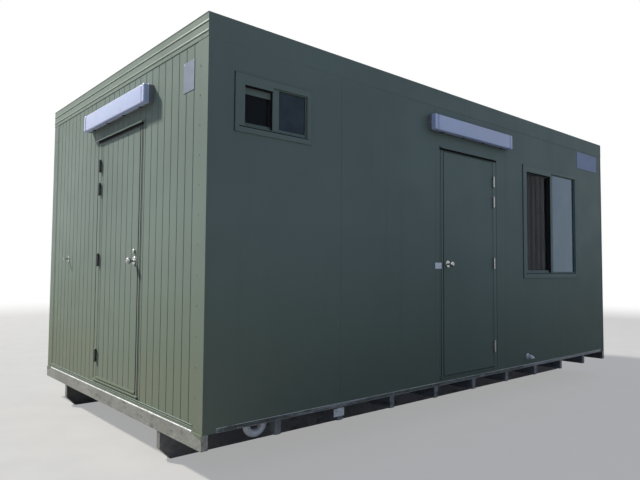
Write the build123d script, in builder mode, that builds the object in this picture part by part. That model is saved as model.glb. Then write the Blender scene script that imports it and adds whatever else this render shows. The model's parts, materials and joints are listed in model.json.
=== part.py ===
from build123d import *
import os

# Portable site cabin, in millimetres. +X runs along the long side, the front faces -Y, +Z is up.
# The origin is on the ground, under the middle of the whole object, lights and caps included.

# Box, from wall face to wall face
cabin_length = 6000.0
cabin_width = 3330.0
wall_thickness = 60.0
roof_thickness = 118.0
floor_thickness = 70.0

# Skids and floor frame
skid_depth = 210.0
skid_width = 50.0
skid_inset = 600.0
skid_plate = 8.0
skid_nose = 85.0
frame_depth = 100.0
frame_flange = 50.0
frame_plate = 5.0
channel_proud = 8.0
joist_pitch = 600.0

# Sheet joints of the long walls
joint_pitch = 1200.0
joint_width = 3.0
joint_depth = 2.0
joint_edge = 20.0

# Grooved boards of the end walls
groove_pitch = 110.5
groove_first = 188.0
groove_width = 9.0
groove_depth = 4.5
groove_edge = 14.0

# Roof sheet and caps
rib_height = 30.0
rib_foot = 62.0
rib_crown = 32.0
rib_edge = 60.0
rib_spaces = 24
cap_sheet = 3.0
cap_lap = 120.0
cap_band_upper = 68.0
cap_band_middle = 65.0
cap_band_lower = 30.0
cap_face = 4.0
cap_bead = 2.5
cap_bead_height = 18.0
cap_bead_flat = 5.0
cap_groove_floor = 0.5
cap_groove_height = 4.0

# Corner flashings and base strips
flashing_sheet = 2.0
flashing_end_leg = 130.0
flashing_front_leg = 15.0
strip_front_height = 30.0
strip_front_start = 100.0
strip_end_height = 45.0

# Doors
leaf_width = 835.0
leaf_height = 2105.0
leaf_thickness = 40.0
leaf_gap = 5.0
sill_rise = 10.0
sill_nosing_reach = 12.0
sill_nosing_height = 10.0
wall_over_leaf = 425.0
door_frame_face = 58.0
door_head_face = 18.0
door_frame_proud = 2.0
door_stop = 12.0
door_stop_gap = 5.0
front_door_from_left = 2523.0
end_door_from_front = 1057.0
head_flashing_rise = 32.0
head_flashing_reach = 28.0
head_flashing_lip = 8.0
front_head_flashing_lap = 0.0
end_head_flashing_lap = 20.0

# Hinges
hinge_height = 110.0
hinge_from_edge = 205.0
hinge_pair_space = 210.0
hinge_barrel_radius = 8.5
hinge_pin_radius = 4.0
hinge_pin_clearance = 0.08
hinge_knuckle_gap = 0.5
hinge_axis_proud = 15.0
hinge_plate = 2.5
hinge_plate_depth = 30.0

# Knobs and locks
knob_height = 1040.0
knob_backset = 58.0
knob_radius = 25.0
knob_neck_radius = 11.0
knob_reach = 66.0
knob_face_radius = 15.0
spindle_radius = 6.0
spindle_clearance = 0.1
rose_radius = 33.0
rose_thickness = 8.0
rose_chamfer = 2.5
rose_running_gap = 0.4
deadlock_rise = 76.0
deadlock_radius = 16.0
deadlock_reach = 14.0

# Lights
light_length = 1330.0
light_height = 150.0
light_depth = 82.0
light_chamfer = 20.0
light_base_depth = 40.0
light_base_height = 140.0
light_base_inset = 4.0
front_light_above_frame = 141.0
front_light_offset = 20.0
end_light_above_frame = 112.0
end_light_offset = 13.0

# Windows: outside of the flange and the faces of head and sill, then what both windows share
large_window_from_left = 3966.0
large_window_below_ceiling = 361.0
large_window_width = 1294.0
large_window_height = 1272.0
large_window_head = 38.0
large_window_sill = 60.0
large_stile_offset = 18.0
small_window_from_left = 206.0
small_window_below_ceiling = 201.0
small_window_width = 681.0
small_window_height = 412.0
small_window_head = 50.0
small_window_sill = 50.0
small_stile_offset = 8.0
window_left_face = 78.0
window_right_face = 44.0
window_flange = 28.0
window_proud = 7.0
window_stile = 48.0
window_stile_depth = 34.0
pane_thickness = 6.0
pane_outer_setback = 14.0
pane_track_space = 16.0

# Blind behind the large window
blind_rail_height = 40.0
blind_rail_depth = 60.0
blind_rail_overhang = 30.0
blind_rail_rise = 24.0
vane_width = 127.0
vane_thickness = 1.2
vane_pitch = 113.0
vane_turn = 42.0
vane_from_wall = 47.0
vane_hang_gap = 0.3
vane_below_sill = 10.0

# Small fittings
sign_from_right = 140.0
sign_below_cap = 20.0
sign_width = 560.0
sign_height = 208.0
end_sign_from_front = 185.0
end_sign_below_cap = 104.0
end_sign_width = 152.0
end_sign_height = 212.0
plate_thickness = 3.0
guard_width = 94.0
guard_lap = 22.0
guard_height = 56.0
guard_above_leaf_bottom = 995.0
hook_from_front = 2736.0
hook_above_base = 1148.0
hook_plate_width = 34.0
hook_plate_height = 60.0
hook_bar = 8.0
hook_reach = 51.0
hook_finger = 24.0
waste_from_left = 470.0
waste_from_front = 100.0
waste_radius = 27.0
waste_bend_radius = 73.0
waste_drop = 14.0
spout_from_left = 4035.0
spout_above_base = 118.0
spout_radius = 21.0
spout_bore_radius = 17.0
spout_straight = 30.0
spout_bend_radius = 30.0
spout_turn = 70.0

# Levels
frame_bottom = skid_depth
wall_base = frame_bottom + frame_depth
floor_top = wall_base + floor_thickness
leaf_bottom = floor_top + sill_rise
leaf_top = leaf_bottom + leaf_height
ceiling = leaf_top + wall_over_leaf
roof_top = ceiling + roof_thickness
cabin_top = roof_top + rib_height + cap_sheet
cap_depth = cap_band_upper + cap_band_middle + cap_band_lower
cap_bottom = cabin_top - cap_depth
cap_reach = cap_face + cap_bead

# Wall faces. The lights reach furthest at the left end and the front, the channel at the right end and
# the cap at the rear.
x_left = -(cabin_length + light_depth + channel_proud) / 2 + light_depth
x_right = x_left + cabin_length
y_front = -(cabin_width + light_depth + cap_sheet) / 2 + light_depth
y_rear = y_front + cabin_width

front_leaf_left = x_left + front_door_from_left
front_leaf_right = front_leaf_left + leaf_width
end_leaf_near = y_front + end_door_from_front
end_leaf_far = end_leaf_near + leaf_width
frame_margin = leaf_gap + door_frame_face
door_frame_top = leaf_top + leaf_gap + door_head_face
hinge_levels = (
    leaf_bottom + hinge_from_edge,
    leaf_bottom + leaf_height / 2,
    leaf_top - hinge_from_edge - hinge_pair_space,
    leaf_top - hinge_from_edge,
)
knob_level = leaf_bottom + knob_height

os.makedirs("parts", exist_ok=True)


def front_plane(y):
    """Upright plane whose sketch runs along X and Z, and whose normal points out of the front."""
    return Plane.XZ.offset(-y)


def end_plane(x):
    """Upright plane whose sketch runs along Y and Z, and whose normal points along +X."""
    return Plane.YZ.offset(x)


def rectangle(low_a, high_a, low_b, high_b, mode=Mode.ADD):
    """Rectangle between two corners of the sketch."""
    with Locations(((low_a + high_a) / 2, (low_b + high_b) / 2)):
        Rectangle(high_a - low_a, high_b - low_b, mode=mode)


def block(low, high):
    """Upright block between two corners."""
    with BuildPart() as piece:
        with BuildSketch(Plane.XY.offset(low[2])):
            rectangle(low[0], high[0], low[1], high[1])
        extrude(amount=high[2] - low[2])
    return piece.part


def save(part, name):
    part.label = name
    export_step(part, f"parts/{name}.step")


def together(pieces, name):
    """Like pieces that don't touch, kept under one name."""
    save(Compound(children=list(pieces)), name)


# Skids: closed-ended channels with a sloping nose at each end, open to the inside
def skid(outer_y, inward):
    """Skid whose outer face is at outer_y; inward is +1 or -1 along Y."""
    plate = skid_plate
    with BuildPart() as piece:
        with BuildSketch(front_plane(max(outer_y, outer_y + inward * skid_width))):
            with BuildLine():
                Polyline(
                    (x_left, frame_bottom),
                    (x_left, skid_nose),
                    (x_left + skid_nose, 0),
                    (x_right - skid_nose, 0),
                    (x_right, skid_nose),
                    (x_right, frame_bottom),
                    close=True,
                )
            make_face()
        extrude(amount=skid_width)
        pocket_face = outer_y + inward * skid_width
        pocket_plane = front_plane(pocket_face)
        with BuildSketch(pocket_plane):
            with BuildLine():
                Polyline(
                    (x_left + plate, frame_bottom - plate),
                    (x_left + plate, skid_nose + plate / 2),
                    (x_left + skid_nose + plate / 2, plate),
                    (x_right - skid_nose - plate / 2, plate),
                    (x_right - plate, skid_nose + plate / 2),
                    (x_right - plate, frame_bottom - plate),
                    close=True,
                )
            make_face()
        extrude(amount=inward * (skid_width - plate), mode=Mode.SUBTRACT)
    return piece.part


together([skid(y_front + skid_inset, 1), skid(y_rear - skid_inset, -1)], "skids")


# Floor frame: an end channel across each end, and joists between them, open to the right
def frame_channel(web_x, open_side, low_y, high_y):
    """Channel across the cabin with its web at web_x, open to +X or -X, and plated at both ends."""
    low_x = min(web_x, web_x + open_side * frame_flange)
    inner = web_x + open_side * frame_plate
    mouth = web_x + open_side * frame_flange
    with BuildPart() as piece:
        with BuildSketch(Plane.XY.offset(frame_bottom)):
            rectangle(low_x, low_x + frame_flange, low_y, high_y)
        extrude(amount=frame_depth)
        with BuildSketch(Plane.XY.offset(frame_bottom + frame_plate)):
            rectangle(min(inner, mouth), max(inner, mouth), low_y + frame_plate, high_y - frame_plate)
        extrude(amount=frame_depth - 2 * frame_plate, mode=Mode.SUBTRACT)
    return piece.part


together(
    [
        frame_channel(x_left - channel_proud, 1, y_front, y_rear),
        frame_channel(x_right + channel_proud, -1, y_front, y_rear),
    ],
    "end_channels",
)

joist_count = round(cabin_length / joist_pitch) - 1
joist_space = cabin_length / (joist_count + 1)
together(
    [
        frame_channel(x_left + number * joist_space - frame_flange / 2, 1, y_front, y_rear)
        for number in range(1, joist_count + 1)
    ],
    "floor_joists",
)

floor_deck = block(
    (x_left + wall_thickness, y_front + wall_thickness, wall_base),
    (x_right - wall_thickness, y_rear - wall_thickness, floor_top),
)
save(floor_deck, "floor_deck")

# Walls of the long sides, cut through for their windows, with a V groove where two sheets meet
joint_lines = [x_left + number * joint_pitch for number in range(1, int(cabin_length / joint_pitch) + 1)]


def long_wall(low_x, high_x, low_z, high_z, face_y, inward, windows=()):
    """Slab of a long wall whose outer face is at face_y, cut through at each window. inward is +1 or -1."""
    with BuildPart() as piece:
        with BuildSketch(front_plane(max(face_y, face_y + inward * wall_thickness))):
            rectangle(low_x, high_x, low_z, high_z)
            for left, base, width, height in windows:
                rectangle(
                    left + window_flange,
                    left + width - window_flange,
                    base + window_flange,
                    base + height - window_flange,
                    mode=Mode.SUBTRACT,
                )
        extrude(amount=wall_thickness)
        for line in joint_lines:
            if low_x + joint_edge < line < high_x - joint_edge:
                with BuildSketch(Plane.XY.offset(low_z)):
                    with BuildLine():
                        Polyline(
                            (line - joint_width / 2, face_y),
                            (line, face_y + inward * joint_depth),
                            (line + joint_width / 2, face_y),
                            close=True,
                        )
                    make_face()
                extrude(amount=high_z - low_z, mode=Mode.SUBTRACT)
    return piece.part


small_window = (
    x_left + small_window_from_left,
    ceiling - small_window_below_ceiling - small_window_height,
    small_window_width,
    small_window_height,
)
large_window = (
    x_left + large_window_from_left,
    ceiling - large_window_below_ceiling - large_window_height,
    large_window_width,
    large_window_height,
)
front_frame_left = front_leaf_left - frame_margin
front_frame_right = front_leaf_right + frame_margin

save(long_wall(x_left, front_frame_left, wall_base, ceiling, y_front, 1, [small_window]), "front_wall_left")
save(
    long_wall(front_frame_left, front_frame_right, door_frame_top, ceiling, y_front, 1),
    "front_wall_over_door",
)
save(
    long_wall(front_frame_right, x_right, wall_base, ceiling, y_front, 1, [large_window]),
    "front_wall_right",
)
save(long_wall(x_left, x_right, wall_base, ceiling, y_rear, -1), "rear_wall")

# End walls, of upright boards with a V groove at each joint
groove_count = int((cabin_width - groove_first - flashing_end_leg) / groove_pitch) + 1
groove_lines = [y_front + groove_first + number * groove_pitch for number in range(groove_count)]


def grooved_outline(face_x, back_x, low_y, high_y):
    """Plan of a slab between two Y values, with a V groove in its face at each board joint inside them."""
    inward = 1 if back_x > face_x else -1
    points = [(face_x, low_y)]
    for line in groove_lines:
        if low_y + groove_edge < line < high_y - groove_edge:
            points.append((face_x, line - groove_width / 2))
            points.append((face_x + inward * groove_depth, line))
            points.append((face_x, line + groove_width / 2))
    points += [(face_x, high_y), (back_x, high_y), (back_x, low_y)]
    return points


def end_wall(face_x, back_x, low_y, high_y, low_z, high_z):
    with BuildPart() as piece:
        with BuildSketch(Plane.XY.offset(low_z)):
            with BuildLine():
                Polyline(*grooved_outline(face_x, back_x, low_y, high_y), close=True)
            make_face()
        extrude(amount=high_z - low_z)
    return piece.part


end_frame_near = end_leaf_near - frame_margin
end_frame_far = end_leaf_far + frame_margin
inner_left = x_left + wall_thickness
inner_right = x_right - wall_thickness
inner_front = y_front + wall_thickness
inner_rear = y_rear - wall_thickness

save(end_wall(x_left, inner_left, inner_front, end_frame_near, wall_base, ceiling), "left_wall_front")
save(end_wall(x_left, inner_left, end_frame_far, inner_rear, wall_base, ceiling), "left_wall_rear")
save(
    end_wall(x_left, inner_left, end_frame_near, end_frame_far, door_frame_top, ceiling),
    "left_wall_over_door",
)
save(end_wall(x_right, inner_right, inner_front, inner_rear, wall_base, ceiling), "right_wall")

# Roof sheet with ribs from front to rear
rib_pitch = (cabin_length - 2 * rib_edge) / rib_spaces
with BuildPart() as roof_panel:
    with BuildSketch(front_plane(y_rear)):
        with BuildLine():
            roof_points = [(x_left, ceiling), (x_left, roof_top)]
            for number in range(rib_spaces + 1):
                middle = x_left + rib_edge + number * rib_pitch
                roof_points.append((middle - rib_foot / 2, roof_top))
                roof_points.append((middle - rib_crown / 2, roof_top + rib_height))
                roof_points.append((middle + rib_crown / 2, roof_top + rib_height))
                roof_points.append((middle + rib_foot / 2, roof_top))
            roof_points += [(x_right, roof_top), (x_right, ceiling)]
            Polyline(*roof_points, close=True)
        make_face()
    extrude(amount=cabin_width)
save(roof_panel.part, "roof_panel")


# Caps: flat along the long sides, with the moulded ones of the ends between them
def cap_steps(face_x, outward):
    """Points down the moulded face of an end's cap: two bands that swell to a bead above a groove, then a
    flat band."""
    first = cabin_top - cap_band_upper
    second = first - cap_band_middle
    steps = [(cap_face, cabin_top - cap_sheet)]
    for foot in (first, second):
        steps += [
            (cap_face, foot + cap_bead_height),
            (cap_reach, foot + 2 * cap_bead_flat),
            (cap_reach, foot + cap_bead_flat),
            (cap_groove_floor, foot),
            (cap_groove_floor, foot - cap_groove_height),
            (cap_face, foot - cap_groove_height),
        ]
    steps.append((cap_face, cap_bottom))
    return [(face_x + outward * out, level) for out, level in steps]


def flat_cap(face_y, inward):
    """Angle along a long side; its upright leg lies on the wall and its top leg on the ribs."""
    outer = face_y - inward * cap_sheet
    lap = face_y + inward * cap_lap
    with BuildPart() as piece:
        with BuildSketch(front_plane(max(outer, face_y))):
            with BuildLine():
                Polyline(*cap_steps(x_left, -1), *reversed(cap_steps(x_right, 1)), close=True)
            make_face()
        extrude(amount=cap_sheet)
        with BuildSketch(Plane.XY.offset(cabin_top - cap_sheet)):
            rectangle(x_left - cap_reach, x_right + cap_reach, min(outer, lap), max(outer, lap))
        extrude(amount=cap_sheet)
    return piece.part


def moulded_cap(face_x, outward):
    """Moulding with the grooved face, and a top leg on the roof between the long sides' caps."""
    top = cabin_top - cap_sheet
    reach_x = face_x + outward * cap_reach
    lap_x = face_x - outward * cap_lap
    with BuildPart() as piece:
        with BuildSketch(front_plane(y_rear)):
            with BuildLine():
                Polyline((face_x, top), *cap_steps(face_x, outward), (face_x, cap_bottom), close=True)
            make_face()
        extrude(amount=cabin_width)
        with BuildSketch(Plane.XY.offset(top)):
            rectangle(min(reach_x, lap_x), max(reach_x, lap_x), y_front + cap_lap, y_rear - cap_lap)
        extrude(amount=cap_sheet)
    return piece.part


save(flat_cap(y_front, 1), "cap_front")
save(flat_cap(y_rear, -1), "cap_rear")
save(moulded_cap(x_left, -1), "cap_left")
save(moulded_cap(x_right, 1), "cap_right")


# Corner flashings: a wide leg on the end wall and a narrow one on the long wall
def corner_flashing(face_x, inward_x, face_y, inward_y):
    outer_x = face_x - inward_x * flashing_sheet
    outer_y = face_y - inward_y * flashing_sheet
    leg_x = face_x + inward_x * flashing_front_leg
    leg_y = face_y + inward_y * flashing_end_leg
    with BuildPart() as piece:
        with BuildSketch(Plane.XY.offset(wall_base)):
            with BuildLine():
                Polyline(
                    (outer_x, outer_y),
                    (leg_x, outer_y),
                    (leg_x, face_y),
                    (face_x, face_y),
                    (face_x, leg_y),
                    (outer_x, leg_y),
                    close=True,
                )
            make_face()
        extrude(amount=cap_bottom - wall_base)
    return piece.part


together(
    [
        corner_flashing(face_x, inward_x, face_y, inward_y)
        for face_x, inward_x in ((x_left, 1), (x_right, -1))
        for face_y, inward_y in ((y_front, 1), (y_rear, -1))
    ],
    "corner_flashings",
)

# Base strips between the corner flashings: bare ones on the long sides, painted ones on the ends
strip_left = x_left + strip_front_start
strip_right = x_right - strip_front_start
strip_near = y_front + flashing_end_leg
strip_far = y_rear - flashing_end_leg
front_strip_top = wall_base + strip_front_height
end_strip_top = wall_base + strip_end_height
together(
    [
        block((strip_left, y_front - flashing_sheet, wall_base), (strip_right, y_front, front_strip_top)),
        block((strip_left, y_rear, wall_base), (strip_right, y_rear + flashing_sheet, front_strip_top)),
    ],
    "side_base_strips",
)
together(
    [
        block((x_left - flashing_sheet, strip_near, wall_base), (x_left, strip_far, end_strip_top)),
        block((x_right, strip_near, wall_base), (x_right + flashing_sheet, strip_far, end_strip_top)),
    ],
    "end_base_strips",
)


# Doors. Each is described by a plane at the outer wall face: x along the wall towards the hinges,
# y up, z out of the wall, with its origin at the hinge-side bottom corner of the leaf.
front_door_plane = Plane(
    origin=(front_leaf_right, y_front, leaf_bottom), x_dir=(1, 0, 0), z_dir=(0, -1, 0)
)
end_door_plane = Plane(
    origin=(x_left, end_leaf_far, leaf_bottom), x_dir=(0, 1, 0), z_dir=(1, 0, 0)
)


def door_frame(plane, out):
    """Frame round the leaf, rebated so that the leaf closes against a stop, with a sill nosing. out is +1
    where the plane's normal points out of the wall, and -1 where it points in."""
    low = -leaf_width - leaf_gap
    high = leaf_gap
    left = low - door_frame_face
    right = high + door_frame_face
    head = door_frame_top - leaf_bottom
    face = plane.offset(out * door_frame_proud)
    with BuildPart() as piece:
        with BuildSketch(plane):
            rectangle(left, right, wall_base - leaf_bottom, head)
        extrude(amount=-out * wall_thickness)
        with BuildSketch(plane):
            rectangle(left, right, end_strip_top - leaf_bottom, head)
        extrude(amount=out * door_frame_proud)
        with BuildSketch(plane):
            rectangle(left, right, -leaf_gap - sill_nosing_height, -leaf_gap)
        extrude(amount=out * sill_nosing_reach)
        with BuildSketch(face):
            rectangle(low, high, -leaf_gap, leaf_height + leaf_gap)
        extrude(amount=-out * (door_frame_proud + leaf_thickness + door_stop_gap), mode=Mode.SUBTRACT)
        with BuildSketch(plane):
            rectangle(
                low + door_stop, high - door_stop, -leaf_gap + door_stop, leaf_height + leaf_gap - door_stop
            )
        extrude(amount=-out * wall_thickness, mode=Mode.SUBTRACT)
        for level in hinge_levels:
            foot = level - leaf_bottom - hinge_height / 2
            with BuildSketch(face):
                rectangle(high, high + hinge_plate, foot, foot + hinge_height)
            extrude(amount=-out * (door_frame_proud + hinge_plate_depth), mode=Mode.SUBTRACT)
    return piece.part


def hinge_mortises(plane, out):
    """Recesses for the hinge plates in the leaf's edge."""
    with BuildPart() as piece:
        for level in hinge_levels:
            base = level - leaf_bottom - hinge_height / 2
            with BuildSketch(plane):
                rectangle(-hinge_plate, 0, base, base + hinge_height)
            extrude(amount=-out * hinge_plate_depth)
    return piece.part


def lock_bore(plane, out, radius, rise=0.0):
    """Bore through the leaf at the knob, or above it."""
    with BuildPart() as piece:
        with BuildSketch(plane):
            with Locations((-leaf_width + knob_backset, knob_height + rise)):
                Circle(radius)
        extrude(amount=-out * leaf_thickness)
    return piece.part


save(door_frame(front_door_plane, 1), "front_door_frame")
save(door_frame(end_door_plane, -1), "end_door_frame")

bore_radius = spindle_radius + spindle_clearance

with BuildPart() as front_door_leaf:
    with BuildSketch(front_door_plane):
        rectangle(-leaf_width, 0, 0, leaf_height)
    extrude(amount=-leaf_thickness)
    add(hinge_mortises(front_door_plane, 1), mode=Mode.SUBTRACT)
    add(lock_bore(front_door_plane, 1, bore_radius), mode=Mode.SUBTRACT)
save(front_door_leaf.part, "front_door_leaf")

with BuildPart() as end_door_leaf:
    with BuildSketch(Plane.XY.offset(leaf_bottom)):
        with BuildLine():
            Polyline(
                *grooved_outline(x_left, x_left + leaf_thickness, end_leaf_near, end_leaf_far), close=True
            )
        make_face()
    extrude(amount=leaf_height)
    add(hinge_mortises(end_door_plane, -1), mode=Mode.SUBTRACT)
    add(lock_bore(end_door_plane, -1, bore_radius), mode=Mode.SUBTRACT)
save(end_door_leaf.part, "end_door_leaf")


# Hinges. In their plane x points from the leaf to the jamb, y into the wall, and z along the pin.
knuckle_half = hinge_height / 6
plate_near = hinge_axis_proud
plate_far = hinge_axis_proud + hinge_plate_depth
half_gap = leaf_gap / 2


def hinge_plane(level, front):
    """Plane at the middle of a hinge's pin."""
    if front:
        origin = (front_leaf_right + half_gap, y_front - hinge_axis_proud, level)
        return Plane(origin=origin, x_dir=(1, 0, 0), z_dir=(0, 0, 1))
    origin = (x_left - hinge_axis_proud, end_leaf_far + half_gap, level)
    return Plane(origin=origin, x_dir=(0, 1, 0), z_dir=(0, 0, -1))


def jamb_half(plane):
    """Plate in the jamb, the outer two knuckles and the pin through all three."""
    knuckle = hinge_height / 2 - knuckle_half - hinge_knuckle_gap
    with BuildPart() as piece:
        with BuildSketch(plane.offset(-hinge_height / 2)):
            rectangle(half_gap, half_gap + hinge_plate, plate_near, plate_far)
        extrude(amount=hinge_height)
        with BuildSketch(plane.offset(-hinge_height / 2), plane.offset(hinge_height / 2 - knuckle)):
            Circle(hinge_barrel_radius)
            rectangle(half_gap, half_gap + hinge_plate, 0, plate_near)
        extrude(amount=knuckle)
        with BuildSketch(plane.offset(-hinge_height / 2)):
            Circle(hinge_pin_radius)
        extrude(amount=hinge_height)
    return piece.part


def leaf_half(plane):
    """Plate in the leaf's edge and the middle knuckle, bored for the pin."""
    with BuildPart() as piece:
        with BuildSketch(plane.offset(-hinge_height / 2)):
            rectangle(-half_gap - hinge_plate, -half_gap, plate_near, plate_far)
        extrude(amount=hinge_height)
        with BuildSketch(plane.offset(-knuckle_half)):
            Circle(hinge_barrel_radius)
            rectangle(-half_gap - hinge_plate, -half_gap, 0, plate_near)
        extrude(amount=2 * knuckle_half)
        with BuildSketch(plane.offset(-knuckle_half)):
            Circle(hinge_pin_radius + hinge_pin_clearance)
        extrude(amount=2 * knuckle_half, mode=Mode.SUBTRACT)
    return piece.part


front_hinge_planes = [hinge_plane(level, True) for level in hinge_levels]
end_hinge_planes = [hinge_plane(level, False) for level in hinge_levels]
together([jamb_half(plane) for plane in front_hinge_planes + end_hinge_planes], "hinge_jamb_halves")
together([leaf_half(plane) for plane in front_hinge_planes], "front_hinge_leaves")
together([leaf_half(plane) for plane in end_hinge_planes], "end_hinge_leaves")


# Knobs, roses and the deadlock of the end door
def fitting_plane(front, rise=0.0):
    """Plane through a lock fitting's axis, from the leaf's face: x across the axis, y out of the wall."""
    if front:
        origin = (front_leaf_left + knob_backset, y_front, knob_level + rise)
        return Plane(origin=origin, x_dir=(1, 0, 0), z_dir=(0, 0, -1))
    origin = (x_left, end_leaf_near + knob_backset, knob_level + rise)
    return Plane(origin=origin, x_dir=(0, 1, 0), z_dir=(0, 0, 1))


def turned(plane, outlines):
    """Pieces turned about the plane's y axis, one for each closed outline."""
    pieces = []
    for outline in outlines:
        with BuildPart() as piece:
            with BuildSketch(plane):
                with BuildLine():
                    Polyline(*outline, close=True)
                make_face()
            revolve(axis=Axis(plane.origin, plane.y_dir))
        pieces.append(piece.part)
    return pieces


def knob(plane):
    """Outer and inner knob on one spindle."""
    neck = rose_thickness + rose_running_gap
    ball_low = neck + (knob_reach - neck) / 3
    ball_middle = (ball_low + knob_reach) / 2
    back = -leaf_thickness
    with BuildPart() as piece:
        with BuildSketch(plane):
            with BuildLine():
                Line((0, knob_reach), (knob_face_radius, knob_reach))
                ThreePointArc(
                    (knob_face_radius, knob_reach), (knob_radius, ball_middle), (knob_neck_radius, ball_low)
                )
                Polyline(
                    (knob_neck_radius, ball_low),
                    (knob_neck_radius, neck),
                    (spindle_radius, neck),
                    (spindle_radius, back - neck),
                    (knob_neck_radius, back - neck),
                    (knob_neck_radius, back - ball_low),
                )
                ThreePointArc(
                    (knob_neck_radius, back - ball_low),
                    (knob_radius, back - ball_middle),
                    (knob_face_radius, back - knob_reach),
                )
                Polyline((knob_face_radius, back - knob_reach), (0, back - knob_reach), (0, knob_reach))
            make_face()
        revolve(axis=Axis(plane.origin, plane.y_dir))
    return piece.part


def rose_outline(face, out):
    """Half section of a rose on the leaf's face at height face, standing out of it in the direction out."""
    crown = face + out * rose_thickness
    shoulder = crown - out * rose_chamfer
    return [
        (bore_radius, face),
        (rose_radius, face),
        (rose_radius, shoulder),
        (rose_radius - rose_chamfer, crown),
        (bore_radius, crown),
    ]


def cylinder_outline(face, out):
    """Half section of the deadlock's cylinder."""
    crown = face + out * deadlock_reach
    return [
        (0, face),
        (deadlock_radius, face),
        (deadlock_radius, crown - out * rose_chamfer),
        (deadlock_radius - rose_chamfer, crown),
        (0, crown),
    ]


front_fitting = fitting_plane(True)
end_fitting = fitting_plane(False)
both_roses = [rose_outline(0, 1), rose_outline(-leaf_thickness, -1)]
both_cylinders = [cylinder_outline(0, 1), cylinder_outline(-leaf_thickness, -1)]
save(knob(front_fitting), "front_door_knob")
save(knob(end_fitting), "end_door_knob")
together(turned(front_fitting, both_roses), "front_knob_roses")
together(turned(end_fitting, both_roses), "end_knob_roses")
together(turned(fitting_plane(False, deadlock_rise), both_cylinders), "end_deadlock")


# Head flashings over the doors: a leg on the wall and a sloping hood with a turned-down lip
def head_flashing(plane, out, lap):
    """Hood over a door, from the door's plane, reaching past the frame by lap at both ends."""
    low = -leaf_width - frame_margin - lap
    high = frame_margin + lap
    base = door_frame_top - leaf_bottom
    section = Plane(
        origin=plane.from_local_coords(Vector(low, base, 0)),
        x_dir=plane.z_dir * out,
        z_dir=plane.x_dir * -out,
    )
    sheet = flashing_sheet
    reach = head_flashing_reach
    with BuildPart() as piece:
        with BuildSketch(section):
            with BuildLine():
                points = [
                    (0, 0),
                    (0, head_flashing_rise),
                    (sheet, head_flashing_rise),
                    (sheet, head_flashing_lip + sheet * 2),
                    (reach, head_flashing_lip),
                    (reach, 0),
                    (reach - sheet, 0),
                    (reach - sheet, head_flashing_lip - sheet),
                    (sheet, head_flashing_lip),
                    (sheet, 0),
                ]
                upright = 1 if section.y_dir.Z > 0 else -1
                Polyline(*[(across, upright * level) for across, level in points], close=True)
            make_face()
        along = section.z_dir.dot(plane.x_dir)
        extrude(amount=along * (high - low))
    return piece.part


together(
    [
        head_flashing(front_door_plane, 1, front_head_flashing_lap),
        head_flashing(end_door_plane, -1, end_head_flashing_lap),
    ],
    "door_head_flashings",
)


# Lights: a base on the wall and a diffuser in front of it with sloping edges
def light_piece(front, length, height, low, high, chamfer_size):
    """One piece of a light, from low to high out of its wall."""
    above_frame = front_light_above_frame if front else end_light_above_frame
    level = door_frame_top + above_frame + light_height / 2
    if front:
        middle = (front_leaf_left + front_leaf_right) / 2 + front_light_offset
        section = Plane(origin=(middle - length / 2, y_front, level), x_dir=(0, -1, 0), z_dir=(-1, 0, 0))
    else:
        middle = (end_leaf_near + end_leaf_far) / 2 + end_light_offset
        section = Plane(origin=(x_left, middle + length / 2, level), x_dir=(-1, 0, 0), z_dir=(0, 1, 0))
    with BuildPart() as piece:
        with BuildSketch(section):
            with BuildLine():
                Polyline(
                    (low, -height / 2),
                    (high - chamfer_size, -height / 2),
                    (high, -height / 2 + chamfer_size),
                    (high, height / 2 - chamfer_size),
                    (high - chamfer_size, height / 2),
                    (low, height / 2),
                    close=True,
                )
            make_face()
        extrude(amount=-length)
    return piece.part


base_length = light_length - 2 * light_base_inset
base_chamfer = light_chamfer / 4
together(
    [
        light_piece(front, base_length, light_base_height, 0, light_base_depth, base_chamfer)
        for front in (True, False)
    ],
    "light_bases",
)
together(
    [
        light_piece(front, light_length, light_height, light_base_depth, light_depth, light_chamfer)
        for front in (True, False)
    ],
    "light_diffusers",
)


# Windows: a frame with a flange on the wall and a meeting stile, and a pane each side of it
def window_frame(window, head, sill, stile_offset):
    left, base, width, height = window
    right = left + width
    top = base + height
    clear_left = left + window_left_face
    clear_right = right - window_right_face
    middle = (left + right) / 2 + stile_offset
    with BuildPart() as piece:
        with BuildSketch(front_plane(y_front)):
            rectangle(left, right, base, top)
            rectangle(clear_left, clear_right, base + sill, top - head, mode=Mode.SUBTRACT)
        extrude(amount=window_proud)
        with BuildSketch(front_plane(y_front + wall_thickness)):
            rectangle(left + window_flange, right - window_flange, base + window_flange, top - window_flange)
            rectangle(clear_left, clear_right, base + sill, top - head, mode=Mode.SUBTRACT)
        extrude(amount=wall_thickness)
        with BuildSketch(front_plane(y_front + pane_outer_setback + window_stile_depth)):
            rectangle(middle - window_stile / 2, middle + window_stile / 2, base + sill, top - head)
        extrude(amount=window_stile_depth)
    return piece.part


def window_panes(window, head, sill, stile_offset):
    """Left pane in the inner track and right pane in the outer one, up to the stile's sides."""
    left, base, width, height = window
    middle = left + width / 2 + stile_offset
    low_z = base + sill
    high_z = base + height - head
    inner = y_front + pane_outer_setback + pane_track_space
    outer = y_front + pane_outer_setback
    return [
        block(
            (left + window_left_face, inner, low_z),
            (middle - window_stile / 2, inner + pane_thickness, high_z),
        ),
        block(
            (middle + window_stile / 2, outer, low_z),
            (left + width - window_right_face, outer + pane_thickness, high_z),
        ),
    ]


large_window_parts = (large_window, large_window_head, large_window_sill, large_stile_offset)
small_window_parts = (small_window, small_window_head, small_window_sill, small_stile_offset)
save(window_frame(*large_window_parts), "large_window_frame")
save(window_frame(*small_window_parts), "small_window_frame")
together(window_panes(*large_window_parts) + window_panes(*small_window_parts), "window_panes")

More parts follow.
